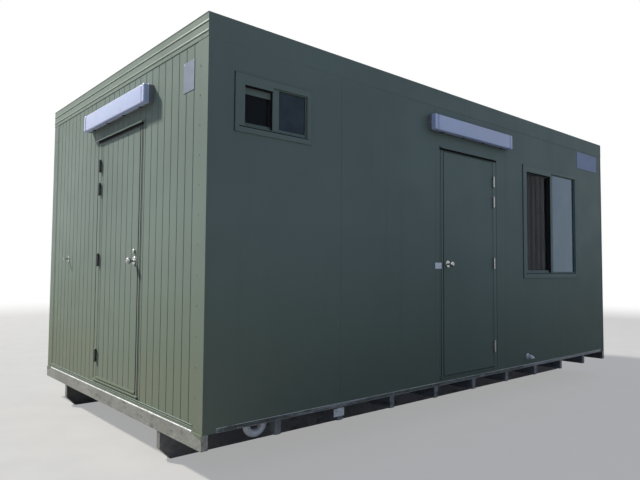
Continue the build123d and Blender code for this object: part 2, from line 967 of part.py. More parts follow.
# Blind: a rail on the inside of the wall and upright vanes turned part open
blind_left = large_window[0] - blind_rail_overhang
blind_right = large_window[0] + large_window_width + blind_rail_overhang
rail_bottom = large_window[1] + large_window_height + blind_rail_rise
rail_middle = inner_front + blind_rail_depth / 2
save(
    block(
        (blind_left, inner_front, rail_bottom),
        (blind_right, inner_front + blind_rail_depth, rail_bottom + blind_rail_height),
    ),
    "blind_rail",
)
vane_centre = inner_front + vane_from_wall
vane_count = int((blind_right - blind_left - vane_width) / vane_pitch) + 1
vane_start = (blind_left + blind_right) / 2 - (vane_count - 1) * vane_pitch / 2
vane_bottom = large_window[1] - vane_below_sill
vanes = []
for number in range(vane_count):
    with BuildPart() as vane:
        with BuildSketch(Plane.XY.offset(vane_bottom)):
            with Locations((vane_start + number * vane_pitch, vane_centre)):
                Rectangle(vane_width, vane_thickness, rotation=vane_turn)
        extrude(amount=rail_bottom - vane_hang_gap - vane_bottom)
    vanes.append(vane.part)
together(vanes, "blind_vanes")

# Sign plates and lock guard plate, all blank
sign_right = x_right - sign_from_right
sign_top = cap_bottom - sign_below_cap
end_sign_near = y_front + end_sign_from_front
end_sign_top = cap_bottom - end_sign_below_cap
together(
    [
        block(
            (sign_right - sign_width, y_front - plate_thickness, sign_top - sign_height),
            (sign_right, y_front, sign_top),
        ),
        block(
            (x_left - plate_thickness, end_sign_near, end_sign_top - end_sign_height),
            (x_left, end_sign_near + end_sign_width, end_sign_top),
        ),
    ],
    "sign_plates",
)
guard_right = front_frame_left + guard_lap
guard_bottom = leaf_bottom + guard_above_leaf_bottom
guard_back = y_front - door_frame_proud
save(
    block(
        (guard_right - guard_width, guard_back - plate_thickness, guard_bottom),
        (guard_right, guard_back, guard_bottom + guard_height),
    ),
    "lock_guard_plate",
)

# Hold-back for the end door: a plate, an arm and a finger that catches the open leaf's edge
hook_y = y_front + hook_from_front
hook_z = wall_base + hook_above_base
with BuildPart() as door_hold_back:
    with BuildSketch(end_plane(x_left)):
        rectangle(
            hook_y - hook_plate_width / 2,
            hook_y + hook_plate_width / 2,
            hook_z - hook_plate_height / 2,
            hook_z + hook_plate_height / 2,
        )
    extrude(amount=-plate_thickness)
    with BuildSketch(end_plane(x_left)):
        rectangle(hook_y - hook_bar / 2, hook_y + hook_bar / 2, hook_z - hook_bar, hook_z + hook_bar)
    extrude(amount=-hook_reach)
    with BuildSketch(end_plane(x_left - hook_reach)):
        rectangle(hook_y - hook_finger, hook_y + hook_bar / 2, hook_z - hook_bar, hook_z + hook_bar)
    extrude(amount=hook_bar)
save(door_hold_back.part, "door_hold_back")

# Waste bend under the floor, between the end channel and the first joist
waste_x = x_left + waste_from_left
waste_y = y_front + waste_from_front
waste_centre = wall_base - waste_drop
with BuildPart() as waste_bend:
    with BuildSketch(Plane.XY.offset(waste_centre)):
        with Locations((waste_x - waste_bend_radius, waste_y), (waste_x + waste_bend_radius, waste_y)):
            Circle(waste_radius)
    extrude(amount=waste_drop)
    with BuildSketch(Plane.XY.offset(waste_centre)):
        with Locations((waste_x + waste_bend_radius, waste_y)):
            Circle(waste_radius)
    revolve(axis=Axis((waste_x, waste_y, waste_centre), (0, 1, 0)), revolution_arc=180)
save(waste_bend.part, "waste_bend")

# Drain spout: a short tube out of the front wall that turns down
spout_x = x_left + spout_from_left
spout_z = wall_base + spout_above_base
spout_bend_y = y_front - spout_straight
with BuildPart() as drain_spout:
    with BuildSketch(front_plane(y_front)):
        with Locations((spout_x, spout_z)):
            Circle(spout_radius)
            Circle(spout_bore_radius, mode=Mode.SUBTRACT)
    extrude(amount=spout_straight)
    with BuildSketch(front_plane(spout_bend_y)):
        with Locations((spout_x, spout_z)):
            Circle(spout_radius)
            Circle(spout_bore_radius, mode=Mode.SUBTRACT)
    revolve(
        axis=Axis((spout_x, spout_bend_y, spout_z - spout_bend_radius), (1, 0, 0)),
        revolution_arc=spout_turn,
    )
save(drain_spout.part, "drain_spout")
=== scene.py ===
import itertools
import json
import math

import bmesh
import bpy
from mathutils import Euler, Matrix, Vector


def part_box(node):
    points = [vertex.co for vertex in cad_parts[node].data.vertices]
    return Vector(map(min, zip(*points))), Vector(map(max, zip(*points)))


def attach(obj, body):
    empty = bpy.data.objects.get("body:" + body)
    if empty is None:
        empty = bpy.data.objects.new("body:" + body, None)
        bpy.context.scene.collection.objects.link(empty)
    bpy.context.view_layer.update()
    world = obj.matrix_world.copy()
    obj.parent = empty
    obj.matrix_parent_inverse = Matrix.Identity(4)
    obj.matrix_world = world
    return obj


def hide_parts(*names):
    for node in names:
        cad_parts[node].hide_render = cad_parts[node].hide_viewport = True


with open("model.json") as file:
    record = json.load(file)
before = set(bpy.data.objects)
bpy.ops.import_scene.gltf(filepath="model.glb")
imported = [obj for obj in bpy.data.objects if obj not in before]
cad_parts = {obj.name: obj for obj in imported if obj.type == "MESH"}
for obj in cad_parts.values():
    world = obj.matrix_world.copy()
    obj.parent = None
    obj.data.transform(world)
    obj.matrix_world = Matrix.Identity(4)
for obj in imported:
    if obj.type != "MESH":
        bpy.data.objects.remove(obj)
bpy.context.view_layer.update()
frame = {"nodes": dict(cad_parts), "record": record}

# Places read from the frame, in metres. The front faces -Y and the end with a door faces -X.
MM = 0.001
front_wall_low, front_wall_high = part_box("front_wall_left")
rear_low, rear_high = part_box("rear_wall")
cap_low, cap_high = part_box("cap_front")
channel_low, channel_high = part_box("end_channels")
front_leaf_low, front_leaf_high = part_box("front_door_leaf")
end_leaf_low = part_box("end_door_leaf")[0]
X_LEFT = rear_low.x
X_RIGHT = rear_high.x
Y_FRONT = front_wall_low.y
Y_REAR = rear_high.y
WALL_BASE = rear_low.z
CEILING = rear_high.z
WALL = front_wall_high.y - front_wall_low.y
CAP_BOTTOM = cap_low.z
CABIN_TOP = cap_high.z
LEAF_WIDTH = front_leaf_high.x - front_leaf_low.x
LEAF_HEIGHT = front_leaf_high.z - front_leaf_low.z
LEAF_THICK = front_leaf_high.y - front_leaf_low.y
LEAF_MIDDLE = -LEAF_THICK / 2
ENDS = ((X_LEFT, -1), (X_RIGHT, 1))
QUARTERS = ((1, 1), (-1, 1), (-1, -1), (1, -1))

# Small sizes of the details, in metres
RIVET_RADIUS = 5.5 * MM
RIVET_HEIGHT = 2.2 * MM
RIVET_PITCH = 0.2
FIRST_RIVET = 0.33
FLASHING_LEG = 0.13
FLASHING_SHEET = 2 * MM
RIVET_INSET = 0.03
CAP_RIVET_PITCH = 0.44
CAP_RIVET_RISE = 0.015
CAP_FACE = 4 * MM
CAP_SHEET = 3 * MM
PANEL_WIDTH = 1.2
KNOB_BACKSET = 0.058
KNOB_RISE = 1.040
LIGHT_LENGTH = 1.33
LIGHT_HEIGHT = 0.15
FRAME_PROUD = 7 * MM
SOFT = 0.8 * MM

# Photograph's view, from the pose of the camera found for it
CAMERA_PLACE = (-4.7985, -4.862, 1.380)
CAMERA_AZIMUTH = -41.03
CAMERA_PITCH = 2.88
CAMERA_ROLL = 0.41
FOCAL_PIXELS = 564.8
PICTURE_WIDTH = 640
SENSOR = 36.0
FLOOR_LIFT = 0.36

# Sockets of the mix node for colours, which share their names with its other sockets
MIX_FIRST_COLOUR = 6
MIX_SECOND_COLOUR = 7
MIX_COLOUR = 2


# Materials

class Nodes:
    """A node tree of a material or world, built up by short calls that return sockets."""

    def __init__(self, owner, output):
        owner.use_nodes = True
        self.tree = owner.node_tree
        self.tree.nodes.clear()
        self.output = self.node(output)

    def node(self, kind, links=None, **settings):
        made = self.tree.nodes.new("ShaderNode" + kind)
        for key, value in settings.items():
            setattr(made, key, value)
        for key, value in (links or {}).items():
            self.feed(made.inputs[key], value)
        return made

    def feed(self, socket, value):
        """Links a socket or sets its value, and gives a colour its alpha."""
        if isinstance(value, bpy.types.NodeSocket):
            self.tree.links.new(value, socket)
        elif socket.type == "RGBA":
            socket.default_value = (*value, 1.0)
        else:
            socket.default_value = value

    def maths(self, operation, first, second=0.0):
        return self.node("Math", {0: first, 1: second}, operation=operation).outputs["Value"]


class Shader(Nodes):
    """A material by the places on its object."""

    def __init__(self, name):
        self.material = bpy.data.materials.new(name)
        super().__init__(self.material, "OutputMaterial")
        self.place = self.node("TexCoord").outputs["Object"]

    def noise(self, scale, detail=3.0, stretch=None, roughness=0.55):
        source = self.place
        if stretch:
            source = self.node("Mapping", {"Vector": source, "Scale": stretch}).outputs["Vector"]
        links = {"Vector": source, "Scale": scale, "Detail": detail, "Roughness": roughness}
        return self.node("TexNoise", links).outputs["Fac"]

    def ranged(self, value, low, high, to_low=0.0, to_high=1.0):
        links = {"Value": value, "From Min": low, "From Max": high, "To Min": to_low, "To Max": to_high}
        return self.node("MapRange", links, interpolation_type="SMOOTHSTEP").outputs["Result"]

    def axis(self, letter):
        return self.node("SeparateXYZ", {"Vector": self.place}).outputs[letter]

    def waves(self, value, pitch):
        return self.maths("SINE", self.maths("MULTIPLY", value, 2 * math.pi / pitch))

    def mixed(self, factor, first, second, blend="MIX"):
        links = {"Factor": factor, MIX_FIRST_COLOUR: first, MIX_SECOND_COLOUR: second}
        return self.node("Mix", links, data_type="RGBA", blend_type=blend).outputs[MIX_COLOUR]

    def mottled(self, first, second, noise, low, high, most=1.0):
        """Lays the second colour over the first in patches of a noise, up to a share."""
        return self.mixed(self.ranged(self.noise(*noise), low, high, 0.0, most), first, second)

    def bump(self, height, strength, distance, under=None):
        links = {"Height": height, "Strength": strength, "Distance": distance}
        if under is not None:
            links["Normal"] = under
        return self.node("Bump", links).outputs["Normal"]

    def principled(self, body, roughness, relief, **inputs):
        made = self.node("BsdfPrincipled", {"Base Color": body, "Roughness": roughness, "Normal": relief})
        for key, value in inputs.items():
            self.feed(made.inputs[key.replace("_", " ").title().replace("Ior", "IOR")], value)
        self.feed(self.output.inputs["Surface"], made.outputs["BSDF"])
        return self.material

    def grained(self, noise, strength, depth, body, roughness, **inputs):
        """The finished material, with a fine noise as its relief."""
        return self.principled(body, roughness, self.bump(self.noise(*noise), strength, depth), **inputs)


def shade(colour, factor):
    return tuple(min(1.0, channel * factor) for channel in colour)


SAGE = (0.158, 0.200, 0.176)
SAGE_TRIM = (0.168, 0.212, 0.186)
SAGE_PAINTED_LIGHT = (0.185, 0.228, 0.195)
LINING = (0.66, 0.66, 0.63)
DUST = (0.30, 0.27, 0.22)
PALE_END_TONE = (0.26, 0.255, 0.24)
GLASS_DUST = (0.16, 0.17, 0.17)
GRIME = (0.045, 0.045, 0.040)
SOIL = (0.19, 0.18, 0.14)
LOW_WALL_SHADE_AND_DUST = (0.127, 0.147, 0.091)
LINING_MARGIN = 0.004


def inside_mask(s):
    """1 within the room and just into its walls, and 0 outside."""
    mask = s.maths("LESS_THAN", s.axis("Z"), CEILING + LINING_MARGIN)
    for letter, low, high in (("X", X_LEFT, X_RIGHT), ("Y", Y_FRONT, Y_REAR)):
        place = s.axis(letter)
        mask = s.maths("MULTIPLY", mask, s.maths("GREATER_THAN", place, low + WALL - LINING_MARGIN))
        mask = s.maths("MULTIPLY", mask, s.maths("LESS_THAN", place, high - WALL + LINING_MARGIN))
    return mask


def on_left_end(s):
    return s.maths("LESS_THAN", s.axis("X"), X_LEFT + 0.05)


def paint(name, colour, roughness=0.42, lined=False, waviness=0.0025, low_dust_and_shade=1.0, grooved=False):
    """Coated sheet: rain streaks, specks, soil spots, dust and painted shade low down, painted shade in
    grooves.
    """
    s = Shader(name)
    body = s.mottled(shade(colour, 0.93), shade(colour, 1.06), (0.8, 3.0), 0.3, 0.7)
    body = s.mottled(body, shade(colour, 0.80), (1.0, 4.0, (11.0, 11.0, 0.45)), 0.52, 0.78, 0.30)
    body = s.mottled(body, shade(colour, 1.35), (95.0, 2.0), 0.66, 0.74, 0.22)
    height = s.axis("Z")
    # Darker and greener towards the bottom: partly dust, partly painted shade and reflected ground light.
    darkened = s.ranged(height, WALL_BASE + 1.6, WALL_BASE + 0.1, 0.0, 0.6 * low_dust_and_shade)
    body = s.mixed(darkened, body, LOW_WALL_SHADE_AND_DUST)
    splash = s.ranged(height, WALL_BASE + 0.62, WALL_BASE - 0.02)
    spots = s.ranged(s.noise(5.0, 5.0), 0.38, 0.72, 0.05, 0.42 * low_dust_and_shade)
    body = s.mixed(s.maths("MULTIPLY", splash, spots), body, SOIL)
    if grooved:
        # Painted shade: the grooves' faces just inside the end walls' planes are darkened.
        depth = s.maths("SUBTRACT", X_RIGHT, s.maths("ABSOLUTE", s.axis("X")))
        groove_shade = s.maths("MULTIPLY", s.ranged(depth, 0.3 * MM, 1.6 * MM), s.maths("LESS_THAN", depth, 6 * MM))
        body = s.mixed(s.maths("MULTIPLY", groove_shade, 0.8), body, shade(colour, 0.16))
    if lined:
        body = s.mixed(inside_mask(s), body, LINING)
    rough = s.ranged(s.noise(3.5, 4.0), 0.3, 0.7, roughness - 0.06, roughness + 0.10)
    fine = s.bump(s.noise(420.0, 2.0), 0.25, 0.0004)
    broad = s.bump(s.noise(1.6, 1.0, (1.0, 1.0, 0.7)), 0.55, waviness, fine)
    return s.principled(body, rough, broad, specular_ior_level=0.05)


def galvanised(name, colour=(0.285, 0.29, 0.27), scuffs=0.5, pale_ends=0.0, tip_shade_and_mud=0.0):
    """Zinc coat with spangles and grime. Skids may be paler at the ends, joists' tips darker as painted
    shade with mud.
    """
    s = Shader(name)
    spangle = s.node("TexVoronoi", {"Vector": s.place, "Scale": 75.0}).outputs["Color"]
    grain = s.node("SeparateColor", {"Color": spangle}).outputs["Red"]
    body = s.mixed(s.ranged(grain, 0.0, 1.0), shade(colour, 0.84), shade(colour, 1.12))
    body = s.mottled(body, shade(colour, 0.66), (2.6, 5.0), 0.40, 0.68, 0.55)
    body = s.mottled(body, GRIME, (6.0, 6.0, (1.0, 1.0, 3.0)), 0.55, 0.72, scuffs)
    body = s.mottled(body, DUST, (11.0, 4.0), 0.55, 0.75, 0.35)
    # Paler towards the cabin's ends.
    if pale_ends:
        reach = s.maths("ABSOLUTE", s.axis("X"))
        body = s.mixed(s.ranged(reach, X_RIGHT - 0.9, X_RIGHT - 0.2, 0.0, pale_ends), body, PALE_END_TONE)
    # Painted shade with mud: the joists' tips at the front and rear are darkened.
    if tip_shade_and_mud:
        reach = s.maths("ABSOLUTE", s.axis("Y"))
        body = s.mixed(s.ranged(reach, Y_REAR - 0.08, Y_REAR - 0.02, 0.0, tip_shade_and_mud), body, GRIME)
    rough = s.ranged(grain, 0.0, 1.0, 0.36, 0.58)
    return s.grained((160.0, 3.0), 0.2, 0.0005, body, rough, metallic=0.5, specular_ior_level=0.15)


def dark_rubber(name):
    s = Shader(name)
    body = s.mottled((0.012, 0.012, 0.013), (0.030, 0.030, 0.030), (60.0, 3.0), 0.3, 0.7)
    return s.grained((300.0,), 0.2, 0.0003, body, 0.85, specular_ior_level=0.06)


def plated(name, colour, roughness, end_painted_shade=1.0):
    """Bright plated metal with handling marks, which may be darkened on the end wall as painted shade."""
    s = Shader(name)
    body = s.mottled(colour, shade(colour, 0.55), (70.0, 5.0), 0.45, 0.75, 0.3)
    # Painted shade: pieces on the end wall are darkened by a factor.
    body = s.mixed(on_left_end(s), body, shade(colour, end_painted_shade))
    rough = s.ranged(s.noise(120.0, 4.0), 0.3, 0.7, roughness * 0.7, roughness * 1.6)
    return s.grained((260.0, 2.0), 0.12, 0.0002, body, rough, metallic=1.0)


def moulded(name, colour, roughness=0.45, mottle=0.08, level=0.5):
    """Moulded plastic, slightly uneven, with dust settled on it."""
    s = Shader(name)
    body = s.mottled(shade(colour, 1 - mottle), shade(colour, 1 + mottle), (6.0, 3.0), 0.3, 0.7)
    body = s.mottled(body, shade(DUST, 1.1), (14.0, 5.0, (1.0, 1.0, 2.5)), 0.52, 0.78, 0.25)
    return s.grained((240.0, 2.0), 0.12, 0.0003, body, roughness, specular_ior_level=level)


def opal(name):
    """Prismatic opal cover: fine upright ribs under a smooth skin, tinted blue as painted sky light."""
    s = Shader(name)
    # Painted sky light: the opal's white is tinted blue.
    sky_tinted_opal = (0.41, 0.475, 0.69)
    body = s.mottled(sky_tinted_opal, shade(sky_tinted_opal, 0.93), (3.0, 3.0), 0.35, 0.7)
    body = s.mottled(body, shade(DUST, 1.9), (22.0, 4.0), 0.55, 0.8, 0.25)
    ribs = s.waves(s.maths("ADD", s.axis("X"), s.axis("Y")), 4 * MM)
    relief = s.bump(ribs, 0.10, 0.0003)
    return s.principled(body, 0.30, relief, subsurface_weight=0.25, subsurface_scale=0.03)


def pane(name, colour, alpha, roughness, level, sky_tint=(1.0, 1.0, 1.0)):
    """Float glass with a film of dust, see-through by alpha, whose gloss may be tinted blue as painted sky
    reflection.
    """
    s = Shader(name)
    film = (4.0, 5.0)
    body = s.mottled(colour, GLASS_DUST, film, 0.42, 0.78, 0.14)
    cover = s.ranged(s.noise(*film), 0.42, 0.78, alpha, min(1.0, alpha + 0.08))
    smear = s.ranged(s.noise(9.0, 4.0), 0.4, 0.8, roughness, roughness * 3)
    return s.grained(
        (1.7, 1.0), 0.25, 0.002, body, smear, alpha=cover, specular_ior_level=level, specular_tint=sky_tint,
        ior=1.5,
    )


def scuffed_strip(name):
    """Painted strip rubbed to the zinc in patches along its length, and towards the right end as painted
    light.
    """
    s = Shader(name)
    zinc = s.mottled((0.26, 0.27, 0.28), (0.36, 0.37, 0.38), (60.0, 3.0), 0.3, 0.7)
    coat = s.mottled(shade(SAGE, 0.30), shade(SAGE, 0.60), (9.0, 4.0), 0.3, 0.7)
    patches = s.ranged(s.noise(1.6, 6.0, (1.0, 1.0, 9.0), 0.68), 0.53, 0.60)
    chips = s.ranged(s.noise(34.0, 3.0), 0.60, 0.66, 0.0, 0.7)
    bare_and_lit = s.maths("MAXIMUM", patches, chips)
    # Painted light: the strip turns to zinc towards the right end, for reflected lit ground.
    bare_and_lit = s.maths("MAXIMUM", bare_and_lit, s.ranged(s.axis("X"), X_RIGHT - 1.9, X_RIGHT - 1.3, 0.0, 0.9))
    body = s.mixed(bare_and_lit, coat, zinc)
    body = s.mottled(body, GRIME, (7.0, 6.0, (1.0, 1.0, 3.0)), 0.50, 0.74, 0.7)
    rough = s.ranged(bare_and_lit, 0.0, 1.0, 0.55, 0.38)
    metal = s.ranged(bare_and_lit, 0.0, 1.0, 0.0, 0.5)
    relief = s.bump(s.maths("SUBTRACT", 1.0, bare_and_lit), 0.3, 0.0004)
    return s.principled(body, rough, relief, metallic=metal)


def boards(name):
    """Sheet flooring with a faint grain, scuffed by feet."""
    s = Shader(name)
    grain = s.noise(3.0, 6.0, (0.6, 14.0, 14.0))
    body = s.mixed(s.ranged(grain, 0.3, 0.7), (0.20, 0.155, 0.11), (0.33, 0.26, 0.19))
    body = s.mottled(body, (0.12, 0.105, 0.09), (7.0, 5.0), 0.52, 0.72, 0.45)
    return s.principled(body, 0.55, s.bump(grain, 0.15, 0.0006))


def roof_sheet(name):
    """Pale coated sheet above, white lining below."""
    s = Shader(name)
    pale = (0.40, 0.42, 0.39)
    body = s.mottled(shade(pale, 0.9), shade(pale, 1.08), (0.9, 4.0), 0.3, 0.7)
    body = s.mottled(body, shade(DUST, 0.8), (1.0, 6.0, (6.0, 0.7, 1.0)), 0.5, 0.75, 0.5)
    body = s.mixed(s.maths("LESS_THAN", s.axis("Z"), CEILING + LINING_MARGIN), body, LINING)
    return s.grained((200.0, 2.0), 0.2, 0.0004, body, 0.5)


def slats(name):
    """Woven blind vane, stiffened."""
    s = Shader(name)
    body = s.mottled((0.52, 0.55, 0.57), (0.66, 0.69, 0.71), (2.0, 3.0, (30.0, 30.0, 1.0)), 0.3, 0.7)
    weave = s.waves(s.axis("Z"), 2.5 * MM)
    return s.principled(body, 0.8, s.bump(weave, 0.2, 0.0003))


def blank_plate(name, colour, end_colour=None):
    """Coated plate with faint runs of grime. One on the end wall may have its own colour."""
    s = Shader(name)
    tone = s.mixed(on_left_end(s), colour, end_colour or colour)
    darkened = s.mixed(1.0, tone, (0.84, 0.84, 0.84), "MULTIPLY")
    body = s.mottled(tone, darkened, (9.0, 4.0), 0.3, 0.75)
    body = s.mottled(body, shade(DUST, 0.9), (1.0, 4.0, (40.0, 40.0, 2.0)), 0.55, 0.8, 0.3)
    return s.grained((180.0,), 0.15, 0.0003, body, 0.42, specular_ior_level=0.15)


finish = {
    "wall_paint": paint("sage_paint", SAGE),
    "lined_wall": paint("sage_paint_lined", SAGE, lined=True, grooved=True),
    "leaf_paint": paint("sage_leaf_paint", SAGE, waviness=0.0012, low_dust_and_shade=0.8),
    "board_leaf_paint": paint("sage_board_paint", SAGE, waviness=0.0012, low_dust_and_shade=0.8, grooved=True),
    # Painted light: a lighter copy of the wall's paint for the end caps, cap rivets and end strips' hems.
    "cap_paint": paint("sage_cap_paint_lit", SAGE_PAINTED_LIGHT, 0.36, waviness=0.0008, low_dust_and_shade=0.0),
    "door_frame_paint": paint("sage_frame_paint", SAGE_TRIM, 0.36, waviness=0.0005),
    "window_frame_paint": paint("sage_window_paint", SAGE_TRIM, 0.34, waviness=0.0003, low_dust_and_shade=0.2),
    # Skid zinc darker than its own grey, as painted shade under the cabin.
    "frame_steel": galvanised("skid_zinc", (0.17, 0.172, 0.175), 0.6, pale_ends=0.5),
    "galvanised": galvanised("zinc_spangle"),
    # Joist zinc paler than the skid's, as painted light against the shade under the floor.
    "joist_zinc": galvanised("joist_zinc", (0.24, 0.25, 0.26), 0.5, tip_shade_and_mud=0.8),
    "bright_zinc": galvanised("bright_zinc", (0.66, 0.68, 0.70), 0.1),
    # Bright zinc for the side strips' rolled hems.
    "bright_rim": galvanised("bright_rim", (0.50, 0.52, 0.54), 0.8),
    "scuffed_strip": scuffed_strip("scuffed_strip"),
    "floor_board": boards("floor_sheet"),
    "roof_sheet": roof_sheet("roof_sheet"),
    # Hinge pieces and finials on the end wall darkened to about a fifth, as painted shade.
    "hinge_steel": plated("zinc_plate", (0.42, 0.43, 0.43), 0.36, end_painted_shade=0.22),
    "holder_steel": plated("holder_zinc", (0.42, 0.43, 0.43), 0.36),
    # Dark zinc as painted shade for the end door's hinge leaves; the windows' pulls share it.
    "dark_hinge": plated("dark_zinc_painted_shade", (0.10, 0.105, 0.11), 0.45),
    "chrome": plated("bright_chrome", (0.42, 0.43, 0.44), 0.16),
    # The lights' bases darker than their own grey, as painted shade.
    "light_base": moulded("shaded_grey_base", (0.15, 0.16, 0.17)),
    "light_diffuser": opal("opal_cover"),
    "blind": slats("blind_vane"),
    # The front plate is darker for its missing lettering and tinted blue as painted sky light.
    "plate": blank_plate("blank_plate", (0.20, 0.26, 0.41), (0.19, 0.225, 0.29)),
    "guard": blank_plate("white_plate", (0.90, 0.90, 0.90)),
    "white_pvc": moulded("white_pipe", (0.76, 0.76, 0.75), 0.32, 0.05),
    "rubber": dark_rubber("seal_rubber"),
    "seam_sealant": moulded("seam_sealant", shade(SAGE, 0.5), 0.7, level=0.15),
    "glass": pane("clear_pane", (0.006, 0.012, 0.020), 0.40, 0.03, 0.10),
    "blind_glass": pane("faint_pane", (0.008, 0.012, 0.016), 0.22, 0.03, 0.2),
    # Painted sky reflection: the two fixed panes are blue in body and gloss.
    "sky_glass": pane("sky_reflection_pane", (0.025, 0.080, 0.150), 0.94, 0.02, 0.8, (0.42, 0.80, 1.0)),
    "dusk_glass": pane("dark_pane", (0.008, 0.018, 0.035), 0.94, 0.02, 0.2, (0.60, 0.88, 1.0)),
}

node_looks = {row["node"]: row["material_slot"] for row in frame["record"]["subparts"]}
node_looks.update({node: "lined_wall" for node in node_looks if "_wall" in node})
node_looks.update(
    front_door_leaf="leaf_paint", end_door_leaf="board_leaf_paint", door_hold_back="holder_steel",
    cap_left="cap_paint", cap_right="cap_paint", side_base_strips="scuffed_strip",
    floor_joists="joist_zinc", end_hinge_leaves="dark_hinge", lock_guard_plate="guard",
)
for node, item in frame["nodes"].items():
    item.data.materials.clear()
    item.data.materials.append(finish[node_looks[node]])


# Meshes

def placed(name, data):
    """An object of the given data, in the scene."""
    made = bpy.data.objects.new(name, data)
    bpy.context.scene.collection.objects.link(made)
    return made


def placed_mesh(mesh, name, material):
    data = bpy.data.meshes.new(name)
    mesh.to_mesh(data)
    mesh.free()
    data.materials.append(material)
    return placed(name, data)


def shown(mesh, name, look, smooth=None, body="cabin"):
    """Makes a piece of a finished bmesh, in place, and lets it ride on its body."""
    bmesh.ops.recalc_face_normals(mesh, faces=mesh.faces)
    piece = placed_mesh(mesh, name, finish[look])
    if smooth is not None:
        piece.data.shade_smooth()
        piece.data.set_sharp_from_angle(angle=math.radians(smooth))
    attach(piece, body)
    return piece


def close_prism(mesh, first, second, bevel, steps=1):
    """Faces of a prism between two outlines, with bevelled edges."""
    faces = [mesh.faces.new(first), mesh.faces.new(second[::-1])]
    for number in range(len(first)):
        after = (number + 1) % len(first)
        faces.append(mesh.faces.new((first[number], second[number], second[after], first[after])))
    if bevel:
        edges = list(dict.fromkeys(edge for face in faces for edge in face.edges))
        bmesh.ops.bevel(
            mesh, geom=edges, offset=bevel, segments=steps, profile=0.5, affect="EDGES", clamp_overlap=True
        )


def add_prism(mesh, outline, axis, low, high, bevel=0.0, steps=1):
    """Extrudes an outline, given in the two other axes in X, Y, Z order, from low to high along an axis."""
    order = {"X": (2, 0, 1), "Y": (0, 2, 1), "Z": (0, 1, 2)}[axis]
    rings = []
    for level in (low, high):
        rings.append([mesh.verts.new([(a, b, level)[place] for place in order]) for a, b in outline])
    close_prism(mesh, *rings, bevel, steps)


def add_block(mesh, low, high, bevel=0.0, steps=1):
    outline = [(low[0], low[1]), (high[0], low[1]), (high[0], high[1]), (low[0], high[1])]
    add_prism(mesh, outline, "Z", low[2], high[2], bevel, steps)


def circle(mesh, middle, side, other, radius, steps):
    turns = [2 * math.pi * step / steps for step in range(steps)]
    return [
        mesh.verts.new(middle + (side * math.cos(turn) + other * math.sin(turn)) * radius) for turn in turns
    ]


def skin(mesh, rings, turned=False):
    """Joins rings of vertices by faces, and closes the ends that aren't points."""
    steps = max(len(ring) for ring in rings)
    for first, second in zip(rings, rings[1:]):
        for step in range(steps):
            after = (step + 1) % steps
            corners = (
                first[step % len(first)], first[after % len(first)],
                second[after % len(second)], second[step % len(second)],
            )
            unique = list(dict.fromkeys(corners))
            if len(unique) > 2:
                mesh.faces.new(unique)
    for ring, reverse in ((rings[0], not turned), (rings[-1], turned)):
        if len(ring) > 2:
            mesh.faces.new(ring[::-1] if reverse else ring)


def add_lathe(mesh, profile, centre, axis, steps):
    """Turns (radius, height) points about an axis through a centre."""
    axis = Vector(axis).normalized()
    side = axis.orthogonal().normalized()
    other = axis.cross(side)
    rings = []
    for radius, height in profile:
        middle = Vector(centre) + axis * height
        if radius < 1e-6:
            rings.append([mesh.verts.new(middle)])
        else:
            rings.append(circle(mesh, middle, side, other, radius, steps))
    skin(mesh, rings)


def add_tube(mesh, points, radius, steps):
    """Round bar along a chain of points."""
    points = [Vector(point) for point in points]
    side = (points[1] - points[0]).normalized().orthogonal().normalized()
    rings = []
    for number, point in enumerate(points):
        before = points[max(number - 1, 0)]
        after = points[min(number + 1, len(points) - 1)]
        heading = (after - before).normalized()
        side = (side - heading * side.dot(heading)).normalized()
        rings.append(circle(mesh, point, side, heading.cross(side), radius, steps))
    skin(mesh, rings)


def add_rivets(mesh, xs, ys, zs, outward, radius=RIVET_RADIUS, height=RIVET_HEIGHT):
    """Low domed heads, dimpled in the middle, at every mix of the given places."""
    profile = [
        (radius, 0.0), (radius * 0.95, height * 0.45), (radius * 0.72, height * 0.85),
        (radius * 0.35, height), (radius * 0.25, height * 0.86), (0.0, height * 0.82),
    ]
    for place in itertools.product(xs, ys, zs):
        add_lathe(mesh, profile, place, outward, 10)


def add_hex_screw(mesh, place, outward, size, height=4.5 * MM):
    """Washer and hexagonal head."""
    washer = height * 0.3
    add_lathe(mesh, [(size * 1.75, 0.0), (size * 1.7, washer), (0.0, washer)], place, outward, 14)
    head = Vector(place) + Vector(outward) * washer
    rest = height - washer
    add_lathe(mesh, [(size, 0.0), (size, rest * 0.8), (size * 0.8, rest), (0.0, rest)], head, outward, 6)


def spread(low, high, pitch, margin):
    """Even places from low to high, about a pitch apart, with a margin at both ends."""
    count = max(1, round((high - low - 2 * margin) / pitch))
    return [low + margin + (high - low - 2 * margin) * step / count for step in range(count + 1)]


# Corner flashings, caps and base strips

def corner_rivets():
    inset = FLASHING_LEG - RIVET_INSET
    count = int((CAP_BOTTOM - FIRST_RIVET) / RIVET_PITCH) + 1
    levels = [FIRST_RIVET + RIVET_PITCH * number for number in range(count)]
    mesh = bmesh.new()
    for face_x, outward in ENDS:
        face = face_x + outward * FLASHING_SHEET
        add_rivets(mesh, [face], (Y_FRONT + inset, Y_REAR - inset), levels, (outward, 0, 0))
    shown(mesh, "corner_rivets", "wall_paint", 40)


def cap_rivets():
    """Rivets along the caps' feet. The rear cap is the furthest face of its side, so it has none."""
    level = CAP_BOTTOM + CAP_RIVET_RISE
    margin = 0.09
    mesh = bmesh.new()
    for face_x, outward in ENDS:
        run = spread(Y_FRONT, Y_REAR, CAP_RIVET_PITCH, margin)
        add_rivets(mesh, [face_x + outward * CAP_FACE], run, [level], (outward, 0, 0))
    run = spread(X_LEFT, X_RIGHT, CAP_RIVET_PITCH, margin)
    add_rivets(mesh, run, [Y_FRONT - CAP_SHEET], [level], (0, -1, 0))
    shown(mesh, "cap_rivets", "cap_paint", 40)


